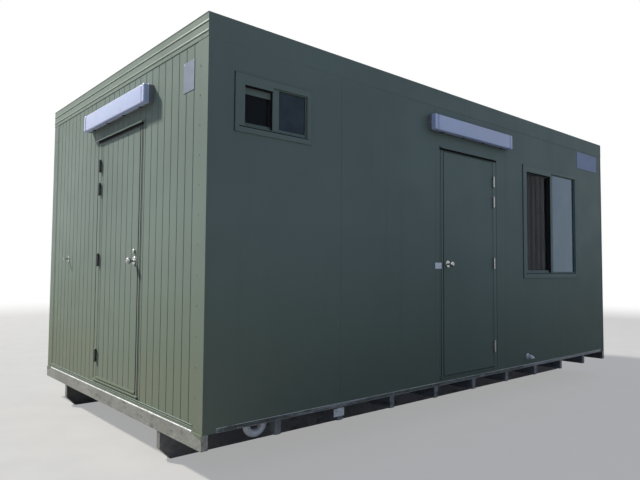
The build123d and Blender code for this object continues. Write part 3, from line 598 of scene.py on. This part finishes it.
def flashing_tabs():
    """Slanted lower ends of the left corners' flashings, over the end channel."""
    top = channel_high.z
    drop = 0.030
    lap = FLASHING_LEG - 2 * MM
    sheet = 1.5 * MM
    tab = [(0, 0), (lap, 0), (lap - 10 * MM, -3 * MM), (3 * MM, -drop), (0, -drop)]
    fold = [(0, 0), (0, sheet), (lap, sheet), (lap, 0)]
    mesh = bmesh.new()
    for edge, inward in ((Y_FRONT, 1), (Y_REAR, -1)):
        for shape, reach in ((tab, channel_low.x), (fold, X_LEFT - FLASHING_SHEET)):
            outline = [(edge + inward * along, top + up) for along, up in shape]
            add_prism(mesh, outline, "X", channel_low.x - sheet, reach)
    shown(mesh, "flashing_tabs", "wall_paint")


def ledge_beads():
    """Bright zinc beads on the end channels' ledges below the walls, partly a painted highlight."""
    rise = 8 * MM
    shape = [(0, 0), (0.4 * MM, rise * 0.75), (2 * MM, rise), (4 * MM, rise), (5 * MM, 0)]
    mesh = bmesh.new()
    for outer, inward in ((channel_low.x, 1), (channel_high.x, -1)):
        outline = [(outer + inward * out, channel_high.z + up) for out, up in shape]
        add_prism(mesh, outline, "Y", Y_FRONT + FLASHING_LEG, Y_REAR - FLASHING_LEG)
    shown(mesh, "end_ledge_beads", "bright_zinc", 40)


def cap_lap():
    """Cover strip where two lengths of the front's cap meet."""
    strip = 0.055
    seam = X_LEFT + 3.0
    face = Y_FRONT - CAP_SHEET
    mesh = bmesh.new()
    add_block(mesh, (seam - strip, face - MM, CAP_BOTTOM), (seam, face, CABIN_TOP - MM), 0.3 * MM)
    shown(mesh, "cap_lap", "wall_paint")


def cap_fillet():
    """Painted sealant that leads the front cap's foot into the wall."""
    foot = CAP_BOTTOM - 14 * MM
    outline = [(Y_FRONT, foot), (Y_FRONT - CAP_SHEET, CAP_BOTTOM), (Y_FRONT, CAP_BOTTOM)]
    mesh = bmesh.new()
    add_prism(mesh, outline, "X", X_LEFT, X_RIGHT)
    shown(mesh, "cap_fillet", "wall_paint")


def panel_seams():
    """Sealant in the joints between the long walls' sheets."""
    window_low, window_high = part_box("large_window_frame")
    half = 1.4 * MM
    near = 0.3 * MM
    far = 1.2 * MM
    mesh = bmesh.new()
    for number in (1, 2, 3, 4):
        line = X_LEFT + PANEL_WIDTH * number
        add_block(mesh, (line - half, Y_REAR - far, WALL_BASE), (line + half, Y_REAR - near, CAP_BOTTOM))
        spans = [(WALL_BASE, CAP_BOTTOM)]
        if window_low.x < line < window_high.x:
            spans = [(WALL_BASE, window_low.z), (window_high.z, CAP_BOTTOM)]
        if front_leaf_low.x - 0.1 < line < front_leaf_high.x + 0.1:
            spans = []
        for low, high in spans:
            add_block(mesh, (line - half, Y_FRONT + near, low), (line + half, Y_FRONT + far, high))
    shown(mesh, "panel_seams", "seam_sealant")


def end_strips():
    """Folded edges of the ends' base strips, a dark strip between them as painted shade, and rivets."""
    low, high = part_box("end_base_strips")
    hems, joints, rivets = bmesh.new(), bmesh.new(), bmesh.new()
    for face_x, outward in ((low.x, -1), (high.x, 1)):
        for foot, rise, proud in ((-6 * MM, 8 * MM, 3.4 * MM), (-19 * MM, 5 * MM, 2.2 * MM)):
            shape = [(0, 0), (proud, 0), (proud, rise - MM), (proud - MM, rise), (0, rise)]
            outline = [(face_x + outward * out, high.z + foot + up) for out, up in shape]
            add_prism(hems, outline, "Y", low.y, high.y)
        # Painted shade: a dark strip under the upper hem.
        near, far = sorted((face_x, face_x + outward * 0.8 * MM))
        add_block(joints, (near, low.y, high.z - 11 * MM), (far, high.y, high.z - 6 * MM))
        run = spread(low.y, high.y, 0.45, 0.06)
        add_rivets(rivets, [face_x], run, [WALL_BASE + 0.014], (outward, 0, 0))
    shown(hems, "end_strip_hems", "cap_paint")
    shown(joints, "end_strip_shade_lines", "rubber")
    shown(rivets, "end_strip_rivets", "wall_paint", 40)


def side_strips():
    """Rolled edges of the long sides' base strips, and the front one's screws."""
    low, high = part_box("side_base_strips")
    hems, edges, screws = bmesh.new(), bmesh.new(), bmesh.new()
    for line in (low.y - 0.6 * MM, high.y - 1.1 * MM):
        for mesh, level, radius in ((hems, high.z, 2.0 * MM), (edges, WALL_BASE + 1.5 * MM, 1.6 * MM)):
            add_tube(mesh, [(low.x, line, level), (high.x, line, level)], radius, 8)
    for x in spread(low.x, high.x, 0.6, 0.05):
        add_hex_screw(screws, (x, low.y, WALL_BASE + 0.013), (0, -1, 0), 3.6 * MM)
    shown(hems, "side_strip_hems", "bright_rim", 60)
    shown(edges, "side_strip_edges", "joist_zinc", 60)
    shown(screws, "side_strip_screws", "galvanised", 30)


def joist_plate():
    mesh = bmesh.new()
    low = (X_LEFT + 1.133, Y_FRONT - 1.6 * MM, WALL_BASE - 0.070)
    add_block(mesh, low, (X_LEFT + 1.241, Y_FRONT, WALL_BASE - 0.010), 0.4 * MM)
    shown(mesh, "joist_end_plate", "bright_zinc")


def roof_screws():
    """Screws through the crowns of the roof's ribs."""
    low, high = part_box("roof_panel")
    ribs = 25
    edge = 0.060
    mesh = bmesh.new()
    for number in range(ribs):
        x = low.x + edge + number * (high.x - low.x - 2 * edge) / (ribs - 1)
        for y in spread(low.y, high.y, 0.72, 0.22):
            add_hex_screw(mesh, (x, y, high.z), (0, 0, 1), 4.5 * MM, 2.4 * MM)
    shown(mesh, "roof_screws", "galvanised", 30)


# Doors

class Wall:
    """A vertical face with its own axes: along the wall, out of it and up."""

    def __init__(self, origin, along, outward):
        self.origin = Vector(origin)
        self.along = Vector(along)
        self.outward = Vector(outward)

    def at(self, along, out, up):
        return self.origin + self.along * along + self.outward * out + Vector((0, 0, up))

    def block(self, mesh, low, high, bevel=0.0, steps=1):
        pairs = [sorted(pair) for pair in zip(self.at(*low), self.at(*high))]
        add_block(mesh, [pair[0] for pair in pairs], [pair[1] for pair in pairs], bevel, steps)


front_leaf = Wall((front_leaf_low.x, Y_FRONT, front_leaf_low.z), (1, 0, 0), (0, -1, 0))
end_leaf = Wall((X_LEFT, end_leaf_low.y, end_leaf_low.z), (0, 1, 0), (-1, 0, 0))
DOORS = ((front_leaf, "front"), (end_leaf, "end"))


def leaf_edging(wall, side):
    """Thin edging round both faces of a leaf, and a rail along the outer one's foot."""
    width = 0.016
    lift = MM
    foot = 0.022
    right = LEAF_WIDTH - width
    mesh = bmesh.new()
    for inner, outer in ((0.0, lift), (-LEAF_THICK - lift, -LEAF_THICK)):
        for left_x, right_x, low, high in (
            (0, width, 0, LEAF_HEIGHT), (right, LEAF_WIDTH, 0, LEAF_HEIGHT),
            (width, right, LEAF_HEIGHT - width, LEAF_HEIGHT), (width, right, 0, foot),
        ):
            wall.block(mesh, (left_x, inner, low), (right_x, outer, high), 0.3 * MM)
    wall.block(mesh, (2 * MM, lift, 4 * MM), (LEAF_WIDTH - 2 * MM, 5.5 * MM, foot), SOFT)
    shown(mesh, side + "_leaf_edging", "leaf_paint", body=side + "_door")


def leaf_latch(wall, side):
    """Face plate and bolt in the leaf's free edge."""
    mesh = bmesh.new()
    for near, far, half_depth, half_height, bevel in (
        (0, MM, 0.011, 0.028, 0.3 * MM), (MM, 3.4 * MM, 0.006, 0.008, SOFT),
    ):
        low = (-far, LEAF_MIDDLE - half_depth, KNOB_RISE - half_height)
        wall.block(mesh, low, (-near, LEAF_MIDDLE + half_depth, KNOB_RISE + half_height), bevel)
    shown(mesh, side + "_latch", "chrome", body=side + "_door")


def lock_plug(wall, names, body, profile, out, rise, keyway):
    """Lock core by its profile in millimetres, and its keyway."""
    mesh = bmesh.new()
    shape = [(radius * MM, height * MM) for radius, height in profile]
    add_lathe(mesh, shape, wall.at(KNOB_BACKSET, out, rise), wall.outward, 24)
    shown(mesh, names[0], "chrome", 40, body)
    slot = bmesh.new()
    half = 0.7 * MM
    near, far, reach = keyway
    low = (KNOB_BACKSET - half, near, rise - reach)
    wall.block(slot, low, (KNOB_BACKSET + half, far, rise + reach))
    shown(slot, names[1], "rubber", body=body)


def knob_core(wall, side):
    profile = [(0, 0), (8, 0), (7.4, 0.8), (5.4, 0.8), (0, 0.5)]
    names = (side + "_knob_core", side + "_knob_core_keyway")
    lock_plug(wall, names, side + "_knob", profile, 0.066, KNOB_RISE, (0.0664, 0.0668, 3.6 * MM))


def deadlock():
    profile = [(0, 0), (10, 0), (9.2, 1), (6.4, 1), (0, 0.6)]
    names = ("deadlock_plug", "deadlock_keyway")
    rise = KNOB_RISE + 0.076
    lock_plug(end_leaf, names, "end_door", profile, 0.014, rise, (0.0144, 0.0150, 4.2 * MM))


def door_seals(wall, side):
    """Rubber bulbs on the frame's stops, behind the closed leaf."""
    radius = 2.2 * MM
    depth = radius - LEAF_THICK - 5 * MM
    left = -0.2 * MM
    right = LEAF_WIDTH - left
    low = 3.2 * MM
    high = LEAF_HEIGHT - low
    corners = ((left, low), (left, high), (right, high), (right, low))
    corners = [wall.at(along, depth, up) for along, up in corners]
    mesh = bmesh.new()
    for start, end in zip(corners, corners[1:] + corners[:1]):
        add_tube(mesh, [start, end], radius, 10)
    shown(mesh, side + "_door_seals", "rubber", 60)


def strike_plate(wall, side):
    mesh = bmesh.new()
    low = (-5.0 * MM, LEAF_MIDDLE - 0.012, KNOB_RISE - 0.032)
    wall.block(mesh, low, (-4.4 * MM, LEAF_MIDDLE + 0.016, KNOB_RISE + 0.032), 0.2 * MM)
    shown(mesh, side + "_strike", "chrome")


def door_outline(wall, side, jamb_shade_width, edge_shade_width, bead):
    """Dark strips by the jambs, the leaf's free edge and under the head's flashing: seals and painted
    shade.
    """
    face = 0.058 + 5 * MM
    joint = 0.040
    gap = 4.5 * MM
    proud = 2.6 * MM
    head = LEAF_HEIGHT + 5 * MM + 0.018
    right = LEAF_WIDTH + face
    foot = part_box("end_base_strips")[1].z - wall.origin.z
    mesh = bmesh.new()
    for low, high, bevel in (
        ((-joint - jamb_shade_width, 0.0, foot), (-joint, proud, head), 0.5 * MM),
        ((right - MM, 0.0, 0.0), (right + bead, proud, head), 0.5 * MM),
        ((-gap - edge_shade_width, MM, 2 * MM), (-gap, 2.8 * MM, LEAF_HEIGHT + 5 * MM), 0.4 * MM),
        ((MM - face, 0.5 * MM, head - 14 * MM), (right - MM, 7 * MM, head + 4 * MM), SOFT),
    ):
        wall.block(mesh, low, high, bevel)
    shown(mesh, side + "_door_sealant", "rubber")


def head_rivets():
    """Rivets through the upright legs of the flashings over the doors."""
    mesh = bmesh.new()
    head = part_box("door_head_flashings")[1].z
    for wall in (front_leaf, end_leaf):
        for along in spread(-0.075, LEAF_WIDTH + 0.075, 0.24, 0.03):
            x, y, _ = wall.at(along, FLASHING_SHEET, 0)
            add_rivets(mesh, [x], [y], [head - 0.008], wall.outward, 3.6 * MM, 1.6 * MM)
    shown(mesh, "head_flashing_rivets", "door_frame_paint", 40)


def hinge_finials():
    """Domed ends of the hinge pins."""
    hinge_half = 0.055
    from_edge = 0.205
    pair = 0.210
    top = LEAF_HEIGHT - from_edge
    profile = [(7.4 * MM, 0.0), (7.0 * MM, 1.6 * MM), (4.6 * MM, 3.6 * MM), (0.0, 4.4 * MM)]
    mesh = bmesh.new()
    for wall in (front_leaf, end_leaf):
        for level in (from_edge, LEAF_HEIGHT / 2, top - pair, top):
            for way in (1, -1):
                place = wall.at(LEAF_WIDTH + 2.5 * MM, 0.015, level + way * hinge_half)
                add_lathe(mesh, profile, place, (0, 0, way), 18)
    shown(mesh, "hinge_finials", "hinge_steel", 50)


# Lights

def rounded_outline(half_a, half_b, radius):
    """Rectangle with round corners, as points about its middle."""
    steps = 5
    points = []
    for corner, (sign_a, sign_b) in enumerate(QUARTERS):
        for step in range(steps + 1):
            turn = math.radians(90 * corner + 90 * step / steps)
            points.append((
                sign_a * (half_a - radius) + radius * math.cos(turn),
                sign_b * (half_b - radius) + radius * math.sin(turn),
            ))
    return points


def add_cover(mesh, wall, centre, half_length, half_height, back, front):
    """Shell of a light's cover: rounded rectangles that draw in towards its front."""
    round_front = 9 * MM
    draw = 1.6 * MM
    steps = 7
    layers = [(back, 0.0), (back + 4 * MM, 0.0), (back + 5 * MM, draw)]
    for step in range(steps + 1):
        turn = math.pi / 2 * step / steps
        out = front - round_front + round_front * math.sin(turn)
        layers.append((out, draw + round_front * (1 - math.cos(turn))))
    rings = []
    for out, inset in layers:
        corner = max(6 * MM, 14 * MM - inset * 0.3)
        outline = rounded_outline(half_length - inset, half_height - inset, corner)
        places = [wall.at(centre[0] + along, out, centre[1] + up) for along, up in outline]
        rings.append([mesh.verts.new(place) for place in places])
    skin(mesh, rings, turned=True)


def lights():
    """Opal covers with separate end caps, clips along the base, and a plug in each end."""
    cover_low, cover_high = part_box("light_diffusers")
    back = 0.040
    front = X_LEFT - cover_low.x
    cap = 0.048
    seam = 1.2 * MM
    shrink = 0.8 * MM
    base_half = 0.070
    lip = 2.4 * MM
    clip = 0.022
    half_length = LIGHT_LENGTH / 2
    half_height = LIGHT_HEIGHT / 2
    plug = [(11 * MM, 0.0), (11 * MM, 5 * MM), (8 * MM, 8 * MM), (0.0, 8 * MM)]
    covers, clips, plugs = bmesh.new(), bmesh.new(), bmesh.new()
    for wall, middle, level in (
        (front_leaf, cover_high.x - half_length - front_leaf_low.x, cover_high.z - half_height),
        (end_leaf, cover_high.y - half_length - end_leaf_low.y, cover_low.z + half_height),
    ):
        up = level - wall.origin.z
        inner = half_length - cap - seam
        add_cover(covers, wall, (middle, up), inner, half_height - shrink, back, front - shrink)
        for way in (-1, 1):
            end = (middle + way * (half_length - cap / 2 - MM), up)
            add_cover(covers, wall, end, cap / 2 + MM, half_height, back, front)
            place = wall.at(middle + way * (half_length - 13 * MM), 0.020, up)
            add_lathe(plugs, plug, place, wall.along * way, 16)
        for share in (-0.38, -0.13, 0.13, 0.38):
            left = middle + share * LIGHT_LENGTH - clip / 2
            for way in (-1, 1):
                tip = up + way * (half_height + lip)
                low = (left, 0.026, up + way * base_half)
                wall.block(clips, low, (left + clip, 0.030, tip), 0.5 * MM)
                low = (left, 0.026, tip - way * lip)
                wall.block(clips, low, (left + clip, 0.050, tip), SOFT)
    piece = shown(covers, "light_covers", "light_diffuser", 35)
    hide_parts("light_diffusers")
    shown(clips, "light_clips", "rubber")
    shown(plugs, "light_plugs", "rubber", 40)


# Windows

STILE = 0.024
STILE_LIP = 5 * MM
SASH_SIDE = 0.022
SASH_FOOT = 0.030
FIXED_FACE = -14 * MM
SLIDING_FACE = -40 * MM
SASH_FRONT = SLIDING_FACE + 11 * MM
SASH_BACK = SLIDING_FACE - 9 * MM
STILE_FACE = FIXED_FACE + 10 * MM
DRAIN_DROP = 12 * MM
DRAIN_INSET = 0.034


class Window:
    """Places of a sliding window's parts, along the wall from its frame's left and up from its foot."""

    left = 0.078

    def __init__(self, frame_node, name, head, sill, stile_offset):
        low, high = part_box(frame_node)
        self.wall = Wall((low.x, Y_FRONT, low.z), (1, 0, 0), (0, -1, 0))
        self.block = self.wall.block
        self.name = name
        self.width = high.x - low.x
        self.height = high.z - low.z
        self.middle = self.width / 2 + stile_offset
        self.right = self.width - 0.044
        self.base = sill
        self.top = self.height - head


def ring(mesh, wall, left, right, low, high, back, front, width, bevel):
    """Four mitred bars round an opening."""
    outer = [(left, low), (right, low), (right, high), (left, high)]
    inner = [
        (left + width, low + width), (right - width, low + width),
        (right - width, high - width), (left + width, high - width),
    ]
    for number in range(4):
        after = (number + 1) % 4
        outline = [outer[number], outer[after], inner[after], inner[number]]
        bars = [[mesh.verts.new(wall.at(a, out, b)) for a, b in outline] for out in (back, front)]
        close_prism(mesh, *bars, bevel)


def window_panes(window, fixed_look, sliding_look):
    """Fixed pane on the right in the outer track, and the sliding one behind it on the left."""
    inset = 2 * MM
    made = []
    for kind, look, left, right, face in (
        ("_fixed_pane", fixed_look, window.middle, window.right - inset, FIXED_FACE),
        ("_sliding_pane", sliding_look, window.left + inset, window.middle - STILE * 0.5, SLIDING_FACE),
    ):
        glass = bmesh.new()
        low = (left, face - 5 * MM, window.base + inset)
        window.block(glass, low, (right, face, window.top - inset), 0.5 * MM)
        made.append(shown(glass, window.name + kind, look))
    return made[0]


def window_sash(window, cover, sash_rail, foot_bead):
    """Rails of the sliding sash, the cover under the head, the stile, and beads round the fixed pane."""
    left, middle, right = window.left, window.middle, window.right
    base, top = window.base, window.top
    stile_left = middle - STILE
    stile_right = middle + STILE
    bead = 8 * MM
    edge = right - 5 * MM
    bead_face = FIXED_FACE + 4.5 * MM
    mesh = bmesh.new()
    for low, high in (
        ((left, SASH_BACK, top - sash_rail), (stile_left, SASH_FRONT, top - MM)),
        ((left, SASH_BACK, base + MM), (stile_left, SASH_FRONT, base + SASH_FOOT)),
        ((left, FIXED_FACE, top - cover), (stile_left, FRAME_PROUD, top)),
        ((stile_left, FIXED_FACE - 10 * MM, base), (stile_right, FIXED_FACE + 7 * MM, top)),
        ((stile_left - STILE_LIP, FIXED_FACE - 12 * MM, base), (stile_left + 3 * MM, STILE_FACE, top)),
        ((stile_right + bead, FIXED_FACE, base + bead), (edge - bead, bead_face, base + foot_bead)),
    ):
        window.block(mesh, low, high, SOFT)
    ring(mesh, window.wall, stile_right, edge, base, top, FIXED_FACE, FIXED_FACE + 6 * MM, bead, SOFT)
    shown(mesh, window.name + "_sashes", "window_frame_paint")


def window_seals_and_shade(window, cover, sash_rail):
    """Dark parts: sash uprights and strips by head and stile as painted shade, gaskets and the sealant."""
    left, middle, right = window.left, window.middle, window.right
    base, top, width, height = window.base, window.top, window.width, window.height
    lip = middle - STILE - STILE_LIP
    clear_low, clear_high = base + SASH_FOOT, top - sash_rail
    drain = base - DRAIN_DROP
    slot = FRAME_PROUD - MM
    sides_near, sides_far = left + SASH_SIDE - MM, lip - 19 * MM
    mesh = bmesh.new()
    for low, high, bevel in (
        # Painted shade: the sash's uprights and the strips by the stile and under the head are dark.
        ((left, SASH_BACK, clear_low), (left + SASH_SIDE, SASH_FRONT, clear_high), SOFT),
        ((lip - 20 * MM, SASH_BACK, clear_low), (lip, SASH_FRONT, clear_high), SOFT),
        ((lip - 1.5 * MM, SASH_FRONT, base), (lip, STILE_FACE - MM, top - cover), 0),
        ((left, SASH_FRONT, top - cover - 5 * MM), (lip, FRAME_PROUD - 4 * MM, top - cover), 0),
        ((right - 5 * MM, FIXED_FACE, base), (right, FIXED_FACE + 3 * MM, top), 0),
        ((-4 * MM, 0.0, 0.0), (MM, 3.0 * MM, height), 0),
        ((-4 * MM, 0.0, height), (width, 1.2 * MM, height + 1.6 * MM), 0),
        ((width, 0.0, 0.0), (width + 1.6 * MM, 1.2 * MM, height), 0),
        ((DRAIN_INSET, slot, drain), (width - DRAIN_INSET, slot + 1.4 * MM, drain + 6 * MM), 0),
    ):
        window.block(mesh, low, high, bevel)
    for sides, rise, face in (
        ((sides_near, sides_far), (clear_low - MM, clear_high + MM), SLIDING_FACE),
        ((middle + STILE + 7 * MM, right - 12 * MM), (base + 7 * MM, top - 7 * MM), FIXED_FACE),
    ):
        ring(mesh, window.wall, *sides, *rise, face, face + 2.5 * MM, 4 * MM, 0.3 * MM)
    shown(mesh, window.name + "_seals", "rubber")


def window_trim(window):
    """Raised rim of the frame, the drip edge over the drain slot and the bead by the right side."""
    proud = FRAME_PROUD
    edge = 1.5 * MM
    drip = window.base - DRAIN_DROP + 6 * MM
    right = window.right
    span = (edge, window.width - edge, edge, window.height - edge)
    mesh = bmesh.new()
    ring(mesh, window.wall, *span, proud, proud + 1.8 * MM, 4 * MM, 0.5 * MM)
    high = (window.width - DRAIN_INSET, proud + 3 * MM, drip + 3 * MM)
    window.block(mesh, (DRAIN_INSET, proud, drip), high, 0.5 * MM)
    low = (right + 4 * MM, proud, drip + 3 * MM)
    window.block(mesh, low, (right + 8 * MM, proud + 2 * MM, window.top), 0.5 * MM)
    shown(mesh, window.name + "_face_trim", "window_frame_paint")


def window_tracks(window):
    """Rails that the sash slides in, and its pull."""
    half = MM
    mesh = bmesh.new()
    for out in (-0.024, -0.054):
        for low, high in ((window.base, window.base + 9 * MM), (window.top - 12 * MM, window.top)):
            window.block(mesh, (window.left, out - half, low), (window.right, out + half, high), 0.3 * MM)
    shown(mesh, window.name + "_tracks", "window_frame_paint")
    level = (window.base + window.top) / 2
    reach = 0.035
    near = window.left + 6 * MM
    high = (near + 12 * MM, SASH_FRONT + 4 * MM, level + reach)
    pull = bmesh.new()
    window.block(pull, (near, SASH_FRONT, level - reach), high, 1.5 * MM, 2)
    shown(pull, window.name + "_pull", "dark_hinge")


def dress_window(window, fixed_look, sliding_look, cover, sash_rail, foot_bead):
    """Dresses a sliding window within its frame, and returns its fixed pane."""
    window_sash(window, cover, sash_rail, foot_bead)
    window_seals_and_shade(window, cover, sash_rail)
    window_trim(window)
    window_tracks(window)
    return window_panes(window, fixed_look, sliding_look)


def blind_fittings():
    """Bottom weights and the two bead chains of the upright vanes."""
    vane_low, vane_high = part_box("blind_vanes")
    count = 11
    turn = math.radians(42)
    vane_width = 0.127
    vane_sheet = 0.0012
    sag_depth = 0.020
    reach = (vane_width * math.cos(turn) + vane_sheet * math.sin(turn)) / 2
    first = vane_low.x + reach
    pitch = (vane_high.x - vane_low.x - 2 * reach) / (count - 1)
    middle_y = (vane_low.y + vane_high.y) / 2
    along = Vector((math.cos(turn), math.sin(turn), 0))
    across = Vector((-math.sin(turn), math.cos(turn), 0))
    weights = bmesh.new()
    level = vane_low.z + 0.022
    for number in range(count):
        centre = Vector((first + number * pitch, middle_y, 0))
        corners = [centre + along * a * 0.058 + across * b * 2 * MM for a, b in QUARTERS]
        outline = [(corner.x, corner.y) for corner in corners]
        add_prism(weights, outline, "Z", level - 0.014, level + 0.014, 0.5 * MM)
    shown(weights, "blind_weights", "blind")
    chain = bmesh.new()
    for way in (-1, 1):
        points = []
        for number in range((count - 1) * 4 + 1):
            share = number / 4
            phase = share - math.floor(share)
            level = vane_low.z + 0.012 - sag_depth * 4 * phase * (1 - phase)
            points.append(Vector((first + share * pitch, middle_y, level)) + along * way * 0.056)
        add_tube(chain, points, 1.1 * MM, 6)
    shown(chain, "blind_chains", "white_pvc", 60)


# Small fittings

def plates():
    """Screws at the corners of the blank plates, on the guard plate and on the hold-back."""
    low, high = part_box("sign_plates")
    guard_low, guard_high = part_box("lock_guard_plate")
    hold_low, hold_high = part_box("door_hold_back")
    sign_width = 0.560
    sign_height = 0.208
    end_width = 0.152
    end_height = 0.212
    sign_edge = 0.012
    edge = 0.010
    proud = 3 * MM
    front, left = (0, -1, 0), (-1, 0, 0)
    mesh = bmesh.new()
    xs = (high.x - sign_width + sign_edge, high.x - sign_edge)
    zs = (high.z - sign_height + sign_edge, high.z - sign_edge)
    add_rivets(mesh, xs, [Y_FRONT - proud], zs, front, 3.5 * MM, 1.6 * MM)
    ys = (high.y - end_width + edge, high.y - edge)
    zs = (low.z + edge, low.z + end_height - edge)
    add_rivets(mesh, [X_LEFT - proud], ys, zs, left, 3.2 * MM, 1.5 * MM)
    xs = (guard_low.x + edge, guard_high.x - edge)
    add_rivets(mesh, xs, [guard_low.y], [(guard_low.z + guard_high.z) / 2], front, 3.5 * MM, 1.6 * MM)
    shown(mesh, "plate_screws", "holder_steel", 40)
    screws = bmesh.new()
    zs = (hold_low.z + edge, hold_high.z - edge)
    add_rivets(screws, [X_LEFT - proud], [hold_high.y - 0.017], zs, left, 4.0 * MM, 2.0 * MM)
    shown(screws, "hold_back_screws", "holder_steel", 40)


def pipe_sockets():
    """Sockets of the waste bend and the flange of the spout."""
    low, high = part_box("waste_bend")
    radius = 0.027
    rim = radius + 5 * MM
    profile = [(radius, 0.0), (rim, 0.0), (rim, -0.024), (radius + MM, -0.030), (radius, -0.030)]
    mesh = bmesh.new()
    for x in (low.x + radius, high.x - radius):
        add_lathe(mesh, profile, (x, (low.y + high.y) / 2, high.z), (0, 0, 1), 32)
    shown(mesh, "waste_sockets", "white_pvc", 40)
    low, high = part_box("drain_spout")
    tube = (high.x - low.x) / 2
    rim = tube + 0.012
    profile = [(tube, 0.0), (rim, 0.0), (rim, 2.4 * MM), (tube + 0.009, 4.0 * MM), (tube, 4.6 * MM)]
    flange = bmesh.new()
    add_lathe(flange, profile, ((low.x + high.x) / 2, Y_FRONT, high.z - tube), (0, -1, 0), 32)
    shown(flange, "spout_flange", "white_pvc", 40)


for dress in (
    corner_rivets, cap_rivets, flashing_tabs, ledge_beads, cap_lap, cap_fillet, panel_seams, end_strips,
    side_strips, joist_plate, roof_screws,
):
    dress()
for dress in (leaf_edging, leaf_latch, knob_core):
    for wall, side in DOORS:
        dress(wall, side)
deadlock()
for dress in (door_seals, strike_plate):
    for wall, side in DOORS:
        dress(wall, side)
# Dark strips, partly seals and partly painted shade; the end door's are wider as painted shadow lines.
door_outline(front_leaf, "front", 8 * MM, 7.5 * MM, 4 * MM)
door_outline(end_leaf, "end", 16 * MM, 15.5 * MM, 12 * MM)
head_rivets()
hinge_finials()
lights()
large_window = Window("large_window_frame", "large_window", 0.038, 0.060, 0.018)
small_window = Window("small_window_frame", "small_window", 0.050, 0.050, 0.008)
large_fixed = dress_window(large_window, "sky_glass", "blind_glass", 0.037, 0.047, 8 * MM)
dress_window(small_window, "dusk_glass", "glass", 0.028, 0.080, 20 * MM)
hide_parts("window_panes")
blind_fittings()
plates()
pipe_sockets()


# Floor, light and camera

def stage_floor():
    """Pale ground that fades to white far away, lifted a little where it is seen straight."""
    s = Shader("studio_floor")
    distance = s.node("VectorMath", {0: s.place}, operation="LENGTH").outputs["Value"]
    tone = s.mottled((0.25, 0.25, 0.246), (0.275, 0.275, 0.27), (3.0, 4.0), 0.3, 0.7)
    diffuse = s.node("BsdfDiffuse", {"Color": tone}).outputs["BSDF"]
    glow = s.node("Emission", {"Color": (1, 1, 1), "Strength": 1.0}).outputs["Emission"]
    lift = s.maths("MAXIMUM", s.ranged(distance, 7.0, 20.0), FLOOR_LIFT)
    camera_ray = s.node("LightPath").outputs["Is Camera Ray"]
    factor = s.maths("MULTIPLY", lift, camera_ray)
    blended = s.node("MixShader", {0: factor, 1: diffuse, 2: glow}).outputs["Shader"]
    s.feed(s.output.inputs["Surface"], blended)
    mesh = bmesh.new()
    bmesh.ops.create_circle(mesh, cap_ends=True, cap_tris=False, segments=96, radius=60.0)
    floor = placed_mesh(mesh, "studio_floor", s.material)


def world_light(strength):
    """Even soft light, and plain white where it is seen straight, in gloss or through glass."""
    world = bpy.data.worlds.new("studio")
    bpy.context.scene.world = world
    s = Nodes(world, "OutputWorld")
    soft = s.node("Background", {"Color": (0.50, 0.66, 1.0), "Strength": strength})
    white = s.node("Background", {"Color": (1.0, 1.0, 1.0), "Strength": 1.0})
    rays = s.node("LightPath").outputs
    seen = s.maths("MAXIMUM", rays["Is Camera Ray"], rays["Is Glossy Ray"])
    seen = s.maths("MAXIMUM", seen, rays["Is Transmission Ray"])
    mixer = s.node("MixShader", {0: seen, 1: soft.outputs[0], 2: white.outputs[0]})
    s.feed(s.output.inputs["Surface"], mixer.outputs[0])


def area_light(name, place, target, size, power, colour):
    lamp = bpy.data.lights.new(name, "AREA")
    lamp.shape = "DISK"
    lamp.size = size
    lamp.energy = power
    lamp.color = colour
    holder = placed(name, lamp)
    holder.location = place
    direction = Vector(target) - Vector(place)
    holder.rotation_euler = direction.to_track_quat("-Z", "Y").to_euler()


def camera():
    data = bpy.data.cameras.new("camera")
    data.sensor_width = SENSOR
    data.lens = FOCAL_PIXELS / PICTURE_WIDTH * SENSOR
    data.clip_end = 200.0
    holder = placed("camera", data)
    level = Euler((math.radians(90 + CAMERA_PITCH), 0, math.radians(CAMERA_AZIMUTH)), "XYZ").to_matrix()
    roll = Matrix.Rotation(math.radians(CAMERA_ROLL), 3, "Z")
    holder.matrix_world = Matrix.Translation(CAMERA_PLACE) @ (level @ roll).to_4x4()
    bpy.context.scene.camera = holder


stage_floor()
world_light(0.41)
area_light("key", (-26.9, 45.2, 50.8), (-2.9, 0.0, 1.6), 6.4, 121000.0, (1.0, 0.955, 0.87))
area_light("fill", (7.0, -8.5, 5.0), (2.5, 0.0, 1.5), 5.0, 60.0, (0.50, 0.75, 1.0))
camera()
bpy.context.scene.view_settings.view_transform = "Standard"
